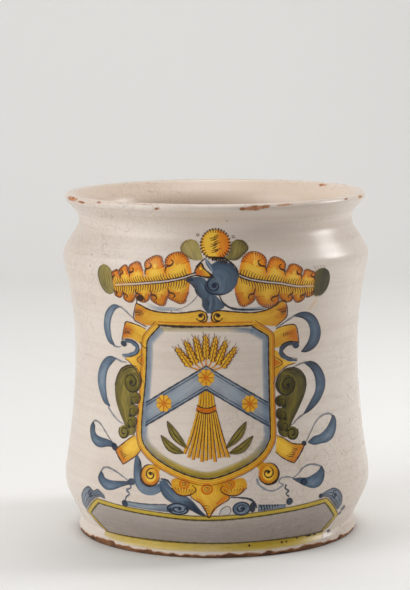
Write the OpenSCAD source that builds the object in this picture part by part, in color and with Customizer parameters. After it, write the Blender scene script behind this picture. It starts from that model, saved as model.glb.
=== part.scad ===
// Wide drug jar (albarello) of thrown earthenware, tin-glazed in and out and painted on the front.
// It stands on its foot on the plane z = 0, with its axis on +Z and the painted front towards -Y.

/* [Jar outline] */
// Height over the lip
jar_h = 220; // [205:1:240]
// How far the lip turns out over the neck
lip_out = 8.5; // [5:0.5:12]
// How far the neck, where a cover is tied, is drawn in from the shoulder
neck_in = 10.5; // [6:0.5:14]
// Depth of the neck below the lip
neck_drop = 17; // [16:0.5:20]
// Radius of the shoulder
shoulder_r = 98.5; // [85:0.5:112]
// Depth of the shoulder below the lip
shoulder_drop = 40; // [38:0.5:46]
// How far the waist is drawn in from the narrower of the shoulder and the belly
waist_in = 7; // [3:0.5:14]
// Height of the waist
waist_h = 121; // [110:1:130]
// Radius of the belly
belly_r = 99; // [88:0.5:112]
// Height of the belly
belly_h = 36.5; // [33:0.5:42]
// How far the groove over the foot is drawn in from the belly
groove_in = 10.5; // [7:0.5:14]
// Height of the groove
groove_h = 8.6; // [8.2:0.2:10]
// How far the foot stands out from the groove
foot_out = 2; // [1:0.1:3]
// Height of the foot's widest place
foot_h = 4.5; // [4:0.1:5]

/* [Rounds of the outline] */
// Radius of the hollow at the neck
neck_round = 10; // [8:0.5:11]
// Radius from the shoulder up
shoulder_top_round = 11; // [8:0.5:12]
// Radius from the shoulder down
shoulder_low_round = 26; // [18:1:34]
// Radius from the belly up
belly_top_round = 50; // [30:1:70]
// Radius from the belly down
belly_low_round = 22; // [12:1:26]
// Radius of the groove
groove_round = 2; // [1.4:0.1:2.2]
// Radius of the foot's edge at the groove
foot_round = 2; // [1.4:0.1:2.2]
// Radius of the worn edge that stands on the table
edge_round = 1.2; // [0.6:0.1:1.8]

/* [Clay and glaze] */
// Thickness of the glazed wall
wall = 5.5; // [4.5:0.1:6.5]
// Height of the glazed floor inside
floor_h = 8; // [7:0.5:10]
// Thickness of the tin glaze
glaze_t = 0.6; // [0.4:0.05:0.8]
// Height of the glaze's lower edge on the foot
glaze_edge_h = 2.6; // [2:0.1:3.2]
// Radius of the hollow under the base
recess_r = 70; // [60:1:76]
// Depth of the hollow under the base
recess_d = 2; // [1:0.1:3]
// Width of the slope at the hollow's edge
recess_slope = 2; // [1:0.1:4]

/* [Painting] */
// Thickness of the painted colour on the glaze
paint_t = 0.15; // [0.1:0.01:0.25]
// Height of the neck for which the painting is drawn
drawn_neck_h = 203; // [195:1:210]
// Side of a square of the drawing's grid, on which the outlines below are counted
drawn_square = 1; // [0.95:0.01:1.05]
// Arc place of the shield's middle line, left of the front
shield_u = -6.5; // [-9:0.5:-4]
// Radius of a star on the chevron
star_r = 5.2; // [4:0.1:6]
// Points of a star
star_points = 8; // [6:1:9]
// Share of a star's radius at the notches between its points
star_notch = 0.62; // [0.4:0.02:0.8]
// Arc from the middle star to a side star
star_gap = 27.5; // [20:0.5:32]
// Height of the middle star
star_top_h = 113.4; // [102:0.1:124]
// Height of the side stars
star_side_h = 96.8; // [88:0.1:106]
// Blue left on the chevron beside a star
star_margin = 1.2; // [0.6:0.1:2.4]

/* [Hidden] */
$fn = 144;
neck_r = shoulder_r - neck_in;
lip_r = neck_r + lip_out;
waist_r = min(shoulder_r, belly_r) - waist_in;
groove_r = belly_r - groove_in;
foot_r = groove_r + foot_out;
lip_round = wall / 2;
lip_c = lip_r - lip_round;
lip_h = jar_h - lip_round;
neck_h = jar_h - neck_drop;
shoulder_h = jar_h - shoulder_drop;
floor_round = belly_h - floor_h;

// Share of a hollow and the swell beside it that stays a straight stretch between their rounds
straight_share = 0.03;

// The outline from lip to foot. Each turn has its radius, its height, the round above and below it,
// and 1 where the wall swells or -1 where it is drawn in. The waist's rounds are as wide as they can be
WIDEST = 1e6;
DRAWN_TURNS = [
    [lip_r, lip_h, lip_round, lip_round, 1],
    [neck_r, neck_h, neck_round, neck_round, -1],
    [shoulder_r, shoulder_h, shoulder_top_round, shoulder_low_round, 1],
    [waist_r, waist_h, WIDEST, WIDEST, -1],
    [belly_r, belly_h, belly_top_round, belly_low_round, 1],
    [groove_r, groove_h, groove_round, groove_round, -1],
    [foot_r, foot_h, foot_round, foot_round, 1],
];
TURNS = [for (i = [0:len(DRAWN_TURNS) - 1]) let (t = DRAWN_TURNS[i]) t[4] > 0 ? t : [
    t[0], t[1],
    min(t[2], widest_round(t, DRAWN_TURNS[i - 1], DRAWN_TURNS[i - 1][3])),
    min(t[3], widest_round(t, DRAWN_TURNS[i + 1], DRAWN_TURNS[i + 1][2])),
    t[4]]];
FOOT_TURN = len(TURNS) - 1;
BELLY_TURN = 4;

// Angle of a step along an arc of the wall and round a painted ring
arc_step = 8;
ring_step = 20;

// The painting is drawn on a grid of squares round the jar and up it, which follows the neck's height
wrap_r = (shoulder_r + waist_r) / 2;
square_mm = drawn_square * neck_h / drawn_neck_h;
prism_y = 2 * max(shoulder_r, belly_r);

// Places on that grid: the shield's middle line, the stars, and the chevron's edges over and under them
middle = shield_u / drawn_square;
star_top = star_top_h / drawn_square;
star_step = star_gap / drawn_square;
star_fall = (star_top_h - star_side_h) / star_gap;
chevron_half = (star_r + star_margin) / drawn_square * norm([1, star_fall]);
chevron_reach = 40;

// Height over and under a motif within which its coat is cut out
paint_margin = 26;
yellow = [0.85, 0.66, 0.2];
orange = [0.84, 0.5, 0.12];
olive = [0.4, 0.42, 0.18];
blue = [0.32, 0.42, 0.56];
buff = [0.86, 0.8, 0.74];

// Largest radius of a hollow that still leaves a straight stretch to a swell beside it of radius swell_round
function widest_round(hollow, swell, swell_round) = let (dr = swell[0] - hollow[0], dz = swell[1] - hollow[1])
    (1 - straight_share) * (dr * dr + dz * dz) / (2 * dr) - swell_round;

// Slope of the straight stretch between a swell and a hollow whose radii add up to s
function slope(dr, dz, s) = atan2(dz, s - dr) - acos(s / norm([s - dr, dz]));

// Slope between turns i and i + 1
function step_slope(i) = slope(
    abs(TURNS[i][0] - TURNS[i + 1][0]), TURNS[i][1] - TURNS[i + 1][1], TURNS[i][3] + TURNS[i + 1][2]);

// Angles along an arc in even steps
function sweep(from, to) = let (n = max(3, ceil(abs(to - from) / arc_step)))
    [for (i = [0:n]) from + (to - from) * i / n];

// Upper half of a turn, from the stretch above it to its own height, at depth d under the outline
function upper_half(t, angle, d) = let (rho = t[2] - t[4] * d)
    [for (a = sweep(angle, 0)) [t[0] - t[4] * t[2] + t[4] * rho * cos(a), t[1] + rho * sin(a)]];

// Lower half of a turn, from its own height to the stretch below it, at depth d under the outline
function lower_half(t, angle, d) = let (rho = t[3] - t[4] * d)
    [for (a = sweep(0, angle)) [t[0] - t[4] * t[3] + t[4] * rho * cos(a), t[1] - rho * sin(a)]];

// A whole turn between the stretches beside it
function turn(i, d) = concat(
    upper_half(TURNS[i], step_slope(i - 1), d), after_first(lower_half(TURNS[i], step_slope(i), d)));

// Outside of the jar from the crest of the lip to height end_h on the foot, at depth d
function outer_path(d, end_h) = concat(
    upper_half(TURNS[0], 90, d),
    after_first(lower_half(TURNS[0], step_slope(0), d)),
    [for (i = [1:FOOT_TURN - 1]) each turn(i, d)],
    upper_half(TURNS[FOOT_TURN], step_slope(FOOT_TURN - 1), d),
    [[foot_r - d, end_h]]);

// Inside of the jar from the crest to the middle of the floor, at depth e under the glazed inside
function inner_path(e) = let (d = wall - e) concat(
    [for (a = sweep(90, 180 - step_slope(0))) [lip_c, lip_h] + (lip_round - e) * [cos(a), sin(a)]],
    [for (i = [1:BELLY_TURN - 1]) each turn(i, d)],
    upper_half(TURNS[BELLY_TURN], step_slope(BELLY_TURN - 1), d),
    [for (a = after_first(sweep(0, 90)))
        [belly_r - wall - floor_round, belly_h] + (floor_round + e) * [cos(a), -sin(a)]],
    [[0, floor_h - e]]);

// Under the foot, from the standing edge to the middle of the base
function base_path(d) = concat(
    [for (a = after_first(sweep(0, 90)))
        [foot_r - d - edge_round, edge_round] + edge_round * [cos(a), -sin(a)]],
    [[recess_r, 0], [recess_r - recess_slope, recess_d], [0, recess_d]]);

function after_first(list) = [for (i = [1:len(list) - 1]) list[i]];
function turned_round(list) = [for (i = [len(list) - 1:-1:0]) list[i]];

// Places in a path that lie between two heights
function rows_between(path, low, high) =
    [for (i = [0:len(path) - 1]) if (path[i][1] > low && path[i][1] < high) i];

// Place of a point of the drawing, seen from the front
function wrap(p) = [wrap_r * sin(p[0] * square_mm / wrap_r * 180 / PI), p[1] * square_mm];
function wrapped(points) = [for (p = points) wrap(p)];

// Smooth curve through four points, t from 0 at b to 1 at c
function between(a, b, c, d, t) = 0.5 * (2 * b + (c - a) * t + (2 * a - 5 * b + 4 * c - d) * t * t
    + (3 * b - a - 3 * c + d) * t * t * t);

// Closed smooth outline through a list of points
function loop(p, steps = 3) = let (n = len(p))
    [for (i = [0:n - 1], s = [0:steps - 1])
        between(p[(i + n - 1) % n], p[i], p[(i + 1) % n], p[(i + 2) % n], s / steps)];

// Open smooth line through a list of points
function line(p, steps = 4) = let (n = len(p))
    concat([for (i = [0:n - 2], s = [0:steps - 1])
        between(p[max(i - 1, 0)], p[i], p[i + 1], p[min(i + 2, n - 1)], s / steps)], [p[n - 1]]);

// Brush stroke along a line, widest in the middle, with ends of width tip
function stroke(p, width, tip) = let (
        c = line(p),
        n = len(c) - 1,
        side = [for (i = [0:n])
            let (t = c[min(i + 1, n)] - c[max(i - 1, 0)]) [-t[1], t[0]] / norm(t)],
        half = [for (i = [0:n]) (tip + (width - tip) * sin(180 * i / n)) / 2]
    )
    concat(
        [for (i = [0:n]) c[i] + half[i] * side[i]],
        [for (i = [n:-1:0]) c[i] - half[i] * side[i]]);

// Round outline about a centre
function ring(c, rx, rz) = [for (a = [0:ring_step:359]) c + [rx * cos(a), rz * sin(a)]];

// Section between an outer and an inner path
module section(outer, inner) polygon(concat(outer, turned_round(inner)));

// Colour laid on the glaze over the outline drawn by its children, between two heights of the drawing
module painted(low, high) {
    glaze = outer_path(0, glaze_edge_h);
    colour = outer_path(-paint_t, glaze_edge_h);
    rows = rows_between(glaze, low * square_mm - paint_margin, high * square_mm + paint_margin);
    intersection() {
        rotate_extrude() section([for (i = rows) colour[i]], [for (i = rows) glaze[i]]);
        rotate([90, 0, 0]) linear_extrude(prism_y) children();
    }
}

// Flat outline of a motif, from points of the drawing
module motif(points) polygon(wrapped(points));

// Outlines of the painting
module shield_outline() motif([
    [-35.5, 145], [22, 145.5], [33, 137.5], [33.2, 100], [32.6, 77], [27, 67], [14, 58],
    [-6, 52.3], [-24, 57], [-40, 67.5], [-46.3, 78], [-46.6, 100], [-44.5, 132]]);

module frame_outline() motif(loop([
    [-52, 158], [-44, 154.3], [-24, 153.2], [-9, 154.6], [-4.5, 151.5], [1, 154.8], [20, 153.2],
    [33, 154.6], [42, 159.5], [45.5, 153], [43.5, 148.4], [36.8, 145], [37.2, 132], [36.8, 100],
    [36.5, 76], [31, 66], [16, 56], [-6, 49.5], [-26, 55], [-44, 65.5], [-51, 76], [-50, 100],
    [-48.3, 132], [-45.8, 141.5], [-46.5, 145.5], [-53.5, 148.5], [-54, 154]]));

module hook_outlines() {
    motif(stroke([[-65, 132], [-58, 133.2], [-54, 130], [-57.4, 126.8], [-65, 124.8]], 2.4, 1.2));
    motif(stroke([[55, 130.4], [48.6, 131.2], [44, 128.2], [47.4, 124.8], [55, 122.8]], 2.4, 1.2));
}

module strap_outlines() {
    motif(loop([
        [-60, 145.6], [-46.3, 142], [-48, 130], [-48.6, 112], [-52, 116], [-62.6, 122.8],
        [-53.4, 125.6], [-51.6, 130.4], [-57, 135.2], [-65.4, 134.6], [-63, 141]]));
    motif(loop([
        [49, 143.8], [39.5, 142], [36.6, 132], [36, 113], [41, 117], [53, 120.8], [43.6, 123.8],
        [41.4, 128.4], [47, 133], [55.6, 132.6], [54, 140]]));
    motif([[-49, 78], [-59, 71.5], [-69, 64.6], [-61.6, 57], [-51.5, 63.6], [-44, 66]]);
    motif([[35, 79], [46.5, 71.5], [58, 68.6], [49.4, 58.6], [39, 63.4], [32, 66]]);
}

module volute_outlines() {
    motif(ring([-41.5, 52], 6.3, 6.3));
    motif(ring([31.4, 53.4], 6.9, 6.6));
}

module pendant_outline() motif(loop([
    [-26, 51], [-27, 46], [-21, 41.4], [-15.2, 41], [-10, 35.8], [-4.6, 28], [-0.5, 35],
    [6.8, 39.5], [12, 41.8], [18, 46], [17.6, 51.4], [-5, 51]]));

// Place on the line that the stars lie on, at arc du from the shield's middle and dz over the line
function on_chevron(du, dz) = [middle + du, star_top - star_fall * abs(du) + dz];

module chevron_outline() intersection() {
    motif(concat(
        [for (du = [-chevron_reach, 0, chevron_reach]) on_chevron(du, chevron_half)],
        [for (du = [chevron_reach, 0, -chevron_reach]) on_chevron(du, -chevron_half)]));
    shield_outline();
}

module star_outlines() {
    for (side = [-1:1])
        motif([for (i = [0:2 * star_points - 1])
            on_chevron(side * star_step, 0) + star_r / drawn_square * (i % 2 == 0 ? 1 : star_notch)
                * [sin(180 * i / star_points), cos(180 * i / star_points)]]);
}

// Ears of the sheaf over the middle star, and its stalks from under that star down to the shield's foot
module sheaf_outlines() intersection() {
    union() {
        motif(loop([for (p = [
            [-5, 3.6], [-12, 10.6], [-21, 17.6], [-17, 23], [-9, 25.6], [0, 27.6], [9, 25.6], [17, 23],
            [21, 17.6], [12, 10.6], [5, 3.6]]) p + [middle, star_top]]));
        motif(loop([for (p = [
            [-4.5, star_top - 5.4], [-8, 88], [-15, 65], [-6, 62], [0, 60.6], [6, 62], [15, 65],
            [8, 88], [4.5, star_top - 5.4]]) p + [middle, 0]]));
    }
    shield_outline();
}

module shield_leaf_outlines() {
    for (side = [-1, 1])
        for (leaf = [[[12, 70], [20, 78], [25, 86]], [[14, 67], [22, 70], [29, 77]]])
            motif(stroke([for (p = leaf) [middle + side * p[0], p[1]]], 4.6, 0.6));
}

module helmet_outline() motif(loop([
    [-4, 187.6], [4, 186], [10, 182.5], [13, 176.5], [11.5, 170], [7.5, 166], [2.2, 164.6],
    [3.2, 160], [8.5, 154.6], [-8, 154.6], [-8.4, 160], [-10.8, 165], [-11.6, 170],
    [-18.8, 173.4], [-12, 178], [-10.6, 183]]));

module left_plume_outline() motif(loop([
    [-14.5, 180], [-17, 187], [-23, 190.4], [-28.4, 188], [-30, 184.6], [-35.5, 188.2], [-41, 186],
    [-43, 181.6], [-48.5, 184], [-53.4, 181], [-57, 181.6], [-60.6, 178.6], [-64, 178.4],
    [-67, 175], [-67.4, 167], [-64, 161], [-59.8, 162], [-56, 158.6], [-50.4, 160.4],
    [-46, 159.2], [-39.6, 162], [-33.5, 157.6], [-28.4, 163], [-21.5, 159.4], [-15.6, 165],
    [-19.4, 172]]));

module right_plume_outline() motif(loop([
    [14, 180], [17, 187], [24, 190.4], [28.6, 186.4], [35.5, 187], [41, 182], [46.5, 182],
    [52, 177.6], [56, 178.2], [61.6, 176.6], [63, 169], [60.6, 161.4], [53, 158], [47.6, 160.6],
    [39.6, 161], [33, 156.2], [23.4, 161.6], [17, 157.6], [10.6, 162], [12, 171]]));

module plume_tip_outlines() {
    motif(loop([
        [-66, 176], [-69.5, 180.3], [-73, 181.3], [-78, 179], [-79.8, 173], [-78, 167.5],
        [-72, 163.2], [-65, 162]]));
    motif(loop([
        [61, 177], [70, 178.5], [75, 176.5], [76.8, 170.5], [74, 165], [68, 161], [61, 161]]));
}

module fruit_outline() motif(ring([0, 195.3], 9.4, 8.8));

module crest_leaf_outlines() {
    motif(loop([
        [-8, 196], [-13.5, 198], [-19, 197.2], [-22.5, 193], [-19, 188.5], [-12.5, 185.3], [-7, 188]]));
    motif(loop([
        [8, 196], [14.5, 198], [19, 197], [22, 192.5], [17, 188.4], [12, 185.4], [5, 187]]));
}

module left_scroll_outline() motif(loop([
    [-56, 118.6], [-65, 116.5], [-70.5, 110], [-72, 102], [-69.5, 94], [-64.5, 86], [-61.8, 81.2],
    [-66.8, 78.4], [-65.6, 73.6], [-59, 73], [-53.4, 77], [-55, 84.4], [-53.4, 89], [-56.6, 93.6],
    [-51.4, 98.4], [-54, 102], [-50, 109], [-51.6, 115]]));

module right_scroll_outline() motif(loop([
    [48, 116.8], [56, 115.5], [61.3, 110], [61.3, 103], [58, 97], [53, 89], [48.4, 81.6],
    [53.4, 79], [52.8, 73.4], [47.5, 72.4], [40, 77], [40.6, 83.4], [38.4, 88], [41.6, 93.4],
    [38.6, 98], [41, 101], [38.4, 107], [41.6, 114.4]]));

module left_leaf_outlines() {
    motif(stroke(
        [[-62, 154.6], [-70, 154], [-78, 147], [-79, 139], [-75, 132], [-71, 129.4]], 7, 1));
    motif(stroke(
        [[-69, 122.6], [-79, 118], [-86, 109], [-86, 101], [-82, 94], [-76, 91.2]], 10, 1));
    motif(stroke([[-70, 67.6], [-80, 67.4], [-90, 70], [-94.4, 75], [-93.4, 79]], 6.4, 2.4));
    motif(stroke([[-57, 47], [-66, 44], [-74, 43], [-79, 46], [-80, 50]], 6.2, 2));
}

module right_leaf_outlines() {
    motif(stroke(
        [[52, 149.6], [62, 150], [69.5, 145], [71, 137], [67, 129.5], [58, 127.4]], 7.4, 2));
    motif(stroke(
        [[61, 119.4], [70, 116], [76.5, 109], [75.5, 101], [70, 94], [59, 88.4]], 8.6, 2));
    motif(stroke([[60.6, 70.6], [68, 70.4], [78, 72], [84, 77], [84.4, 82.4]], 6.4, 2));
    motif(stroke([[47, 49], [54, 46], [62, 45], [68.5, 48], [69.5, 52.6]], 6.4, 1.4));
}

module ribbon_outline() {
    motif(stroke([[-34, 50], [-30, 43.6], [-22, 39], [-14, 34.4], [-6, 29.6]], 6.6, 2));
    motif(stroke([[-50.6, 61.6], [-51.4, 51], [-46.4, 43.6], [-38, 44.4]], 5, 2.4));
}

module roll_outlines() {
    motif([[-60, 34], [-18, 34.6], [-18, 29], [-60, 30]]);
    motif([[8, 35.4], [42, 33.8], [42, 30], [8, 29]]);
    motif(stroke([[-104, 24], [-96, 33], [-88, 37], [-76, 35.6]], 5, 2));
    motif(stroke([[67, 36], [77, 37], [83, 33], [87, 27.4]], 5, 2));
}

module border_outline() difference() {
    motif([
        [-83, 32.4], [-45, 30], [-6, 28.3], [40, 31.4], [72, 33.6], [91, 18.6], [79.6, 6.6],
        [-87, 6.2], [-104, 19.4]]);
    motif([
        [-82.4, 28.6], [-45, 26.2], [-6, 25], [40, 27.6], [71, 30], [86.4, 18.4], [77, 9.4],
        [-85, 9], [-99, 19]]);
}

// Thrown earthenware wall, floor and foot
module clay_body() color([0.62, 0.4, 0.28]) rotate_extrude()
    section(concat(outer_path(glaze_t, edge_round), base_path(glaze_t)), after_first(inner_path(glaze_t)));

// Tin glaze from the crest of the lip down to the foot
module outside_glaze() color([0.9, 0.86, 0.81]) rotate_extrude()
    section(outer_path(0, glaze_edge_h), outer_path(glaze_t, glaze_edge_h));

// Tin glaze from the crest of the lip over the wall and floor inside
module inside_glaze() color(buff) rotate_extrude()
    section(inner_path(glaze_t), inner_path(0));

// Yellow frame round the shield, with the bar over it
module cartouche_frame() color(yellow) painted(49, 160) difference() {
    frame_outline();
    shield_outline();
}

// Rolled strap ends that stand out behind the frame
module strap_ends() color(yellow) painted(57, 146) difference() {
    strap_outlines();
    frame_outline();
}

// Blue rolls in the upper strap ends
module blue_hooks() color(blue) painted(122, 135) hook_outlines();

// Curled ends under the frame
module frame_volutes() color(orange) painted(45, 61) difference() {
    volute_outlines();
    frame_outline();
}

// Three shells that hang under the frame
module pendant_shells() color(orange) painted(27, 52) difference() {
    pendant_outline();
    frame_outline();
    border_outline();
}

// Blue chevron across the shield
module shield_chevron() color(blue) painted(82, 121) difference() {
    chevron_outline();
    star_outlines();
}

// Stars on the chevron
module chevron_stars() color(orange) painted(90, 120) star_outlines();

// Sheaf that stands behind the chevron
module wheat_sheaf() color(yellow) painted(60, 142) difference() {
    sheaf_outlines();
    chevron_outline();
    star_outlines();
}

// Green leaves beside the sheaf
module shield_leaves() color(olive) painted(65, 90) difference() {
    shield_leaf_outlines();
    sheaf_outlines();
    chevron_outline();
    star_outlines();
}

// Helmet over the frame
module helmet() color(blue) painted(154, 188) difference() {
    helmet_outline();
    frame_outline();
    fruit_outline();
}

// Plumes to both sides of the helmet
module left_plume() color(orange) painted(157, 191) difference() {
    left_plume_outline();
    helmet_outline();
    frame_outline();
}

module right_plume() color(orange) painted(156, 191) difference() {
    right_plume_outline();
    helmet_outline();
    frame_outline();
}

// Green leaves at the plumes' tips
module plume_tips() color(olive) painted(160, 182) difference() {
    plume_tip_outlines();
    left_plume_outline();
    right_plume_outline();
}

// Fruit on top of the crest
module crest_fruit() color(orange) painted(186, 205) fruit_outline();

// Green leaves beside the fruit
module crest_leaves() color(olive) painted(185, 198) difference() {
    crest_leaf_outlines();
    fruit_outline();
    helmet_outline();
    left_plume_outline();
    right_plume_outline();
}

// Green leaf scrolls to both sides of the frame
module left_green_scroll() color(olive) painted(73, 119) difference() {
    left_scroll_outline();
    frame_outline();
    strap_outlines();
}

module right_green_scroll() color(olive) painted(72, 117) difference() {
    right_scroll_outline();
    frame_outline();
    strap_outlines();
}

// Blue leaves to both sides of the frame
module left_blue_leaves() color(blue) painted(39, 156) difference() {
    left_leaf_outlines();
    strap_outlines();
    ribbon_outline();
}

module right_blue_leaves() color(blue) painted(41, 152) difference() {
    right_leaf_outlines();
    strap_outlines();
}

// Blue ribbon under the frame
module blue_ribbon() color(blue) painted(28, 63) difference() {
    ribbon_outline();
    frame_outline();
    volute_outlines();
    pendant_outline();
    strap_outlines();
    border_outline();
}

// Blue rolls along the label's upper edge
module label_rolls() color(blue) painted(22, 39) difference() {
    roll_outlines();
    border_outline();
    ribbon_outline();
    pendant_outline();
}

// Yellow border of the bare label
module label_border() color([0.66, 0.6, 0.2]) painted(6, 34) border_outline();

clay_body();
outside_glaze();
inside_glaze();
cartouche_frame();
strap_ends();
blue_hooks();
frame_volutes();
pendant_shells();
shield_chevron();
chevron_stars();
wheat_sheaf();
shield_leaves();
helmet();
left_plume();
right_plume();
plume_tips();
crest_fruit();
crest_leaves();
left_green_scroll();
right_green_scroll();
left_blue_leaves();
right_blue_leaves();
blue_ribbon();
label_rolls();
label_border();
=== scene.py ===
"""Looks of a wide painted drug jar of tin-glazed earthenware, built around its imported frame.

Painted motifs are drawn in millimetres: u is the arc round the jar from the middle of the front,
and z the height over the table.
"""

from __future__ import annotations

import logging
import math
from dataclasses import dataclass, field
from enum import Enum
from typing import Any, Sequence

import bpy
import numpy as np
from mathutils import Matrix, Vector

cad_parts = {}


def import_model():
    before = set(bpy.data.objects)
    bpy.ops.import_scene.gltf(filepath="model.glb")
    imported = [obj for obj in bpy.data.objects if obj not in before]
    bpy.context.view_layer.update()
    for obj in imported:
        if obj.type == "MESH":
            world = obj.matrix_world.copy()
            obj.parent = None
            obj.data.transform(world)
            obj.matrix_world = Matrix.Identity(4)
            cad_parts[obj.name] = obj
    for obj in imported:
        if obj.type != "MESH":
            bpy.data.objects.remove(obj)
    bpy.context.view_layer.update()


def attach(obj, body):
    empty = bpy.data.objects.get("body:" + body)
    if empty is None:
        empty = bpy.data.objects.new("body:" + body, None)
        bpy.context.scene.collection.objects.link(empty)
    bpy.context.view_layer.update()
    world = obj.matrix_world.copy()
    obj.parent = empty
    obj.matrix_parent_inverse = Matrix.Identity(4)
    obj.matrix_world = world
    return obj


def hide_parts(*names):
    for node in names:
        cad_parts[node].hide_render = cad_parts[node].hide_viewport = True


LOG = logging.getLogger("drug_jar")
MM = 0.001
BODY = "root"
TINY = 1e-9
ARC_STEP = 30
Array = np.ndarray
Material = bpy.types.Material
Point = tuple[float, float]
Points = Sequence[Point]
Levels = float | Sequence[float]
Colour = tuple[float, float, float]
Shade = tuple[int, int, int]


def from_screen(red: int, green: int, blue: int) -> Colour:
    """Turn a colour as a screen shows it into linear light.

    Args:
        red: Red from 0 to 255.
        green: Green from 0 to 255.
        blue: Blue from 0 to 255.

    Returns:
        The linear colour.
    """
    shares = [value / 255 for value in (red, green, blue)]
    return tuple(s / 12.92 if s <= 0.04045 else ((s + 0.055) / 1.055) ** 2.4 for s in shares)


# Curves of the drawing


def spline(points: Points, closed: bool = False, steps: int = 12) -> Array:
    """Lay a smooth curve through points.

    Args:
        points: Points that the curve passes through.
        closed: Whether the curve returns to its first point.
        steps: Steps between two points.

    Returns:
        Points along the curve, one row each.
    """
    p = np.asarray(points, float)
    if closed:
        p = np.vstack([p[-1], p, p[0], p[1]])
    else:
        p = np.vstack([2 * p[0] - p[1], p, 2 * p[-1] - p[-2]])
    t = np.linspace(0, 1, steps, endpoint=False)[:, None]
    a, b, c, d = (p[i:len(p) - 3 + i, None, :] for i in range(4))
    square = (2 * a - 5 * b + 4 * c - d) * t ** 2
    cube = (3 * b - a - 3 * c + d) * t ** 3
    curve = 0.5 * (2 * b + (c - a) * t + square + cube)
    return np.vstack([curve.reshape(-1, 2), p[-2]])


def arc_lengths(curve: Array) -> Array:
    """Give the length along a curve at each of its points."""
    return np.concatenate([[0], np.cumsum(np.linalg.norm(np.diff(curve, axis=0), axis=1))])


def at_shares(curve: Array, shares: Array) -> Array:
    """Give the points at shares of a curve's length."""
    run = arc_lengths(curve)
    return np.stack([np.interp(shares * run[-1], run, curve[:, i]) for i in range(2)], axis=1)


def sideways(curve: Array, closed: bool = False) -> Array:
    """Give the unit vectors to the left of a curve at its points.

    Args:
        curve: Points along the curve.
        closed: Whether the last point meets the first.

    Returns:
        One vector for each point.
    """
    along = np.roll(curve, -1, 0) - np.roll(curve, 1, 0) if closed else np.gradient(curve, axis=0)
    along /= np.maximum(np.linalg.norm(along, axis=1, keepdims=True), TINY)
    return np.stack([-along[:, 1], along[:, 0]], axis=1)


def inset(points: Points, distance: float, every: int = 8) -> Array:
    """Move a smooth curve sideways, to its left for a distance over 0, and keep every few points."""
    curve = spline(points)
    return (curve + distance * sideways(curve))[::every]


def circle(centre: Point, rx: float, rz: float, start: float = 0, turn: float = 360) -> list[Point]:
    """List points round an ellipse.

    Args:
        centre: Its middle.
        rx: Half its width.
        rz: Half its height.
        start: Angle of the first point, in degrees.
        turn: Degrees from the first point to the last.

    Returns:
        The points.
    """
    count = max(4, round(abs(turn) / ARC_STEP))
    angles = [math.radians(start + turn * i / count) for i in range(count + 1)]
    return [(centre[0] + rx * math.cos(a), centre[1] + rz * math.sin(a)) for a in angles]


def spiral(centre: Point, r_out: float, r_in: float, start: float, turn: float) -> list[Point]:
    """List points along a spiral that closes in.

    Args:
        centre: Its middle.
        r_out: Radius at its start.
        r_in: Radius at its end.
        start: Angle of the first point, in degrees.
        turn: Degrees from the first point to the last.

    Returns:
        The points.
    """
    count = max(6, round(abs(turn) / ARC_STEP))
    shares = [i / count for i in range(count + 1)]
    radii = [r_out + (r_in - r_out) * s for s in shares]
    angles = [math.radians(start + turn * s) for s in shares]
    return [(centre[0] + r * math.cos(a), centre[1] + r * math.sin(a)) for r, a in zip(radii, angles)]


def levels(values: Levels, shares: Array) -> Array:
    """Spread a few values evenly over 0 to 1 and read them at shares.

    Args:
        values: One value, or several in a row.
        shares: Places from 0 to 1.

    Returns:
        The value at each place.
    """
    row = np.atleast_1d(np.asarray(values, float))
    if len(row) == 1:
        return np.full(np.shape(shares), row[0])
    return np.interp(shares, np.linspace(0, 1, len(row)), row)


# The jar's own form


@dataclass(frozen=True)
class JarSizes:
    """Driving sizes of the jar, in millimetres."""

    height: float = 220
    lip_out: float = 8.5
    neck_in: float = 10.5
    neck_drop: float = 17
    shoulder_r: float = 98.5
    shoulder_drop: float = 40
    waist_in: float = 7
    waist_h: float = 121
    belly_r: float = 99
    belly_h: float = 36.5
    groove_in: float = 10.5
    groove_h: float = 8.6
    foot_out: float = 2
    foot_h: float = 4.5
    neck_round: float = 10
    shoulder_top_round: float = 11
    shoulder_low_round: float = 26
    belly_top_round: float = 50
    belly_low_round: float = 22
    groove_round: float = 2
    foot_round: float = 2
    edge_round: float = 1.2
    wall: float = 5.5
    floor_h: float = 8
    glaze: float = 0.6
    recess_r: float = 70
    recess_d: float = 2
    recess_slope: float = 2
    straight_share: float = 0.03

    @property
    def waist_r(self) -> float:
        """Radius of the waist."""
        return min(self.shoulder_r, self.belly_r) - self.waist_in

    @property
    def wrap_r(self) -> float:
        """Radius at which arcs of the painting are measured."""
        return (self.shoulder_r + self.waist_r) / 2


@dataclass(frozen=True)
class Turn:
    """A place where the wall swells (1) or is drawn in (-1), with its rounds above and below."""

    r: float
    z: float
    above: float
    below: float
    swell: int


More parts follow.
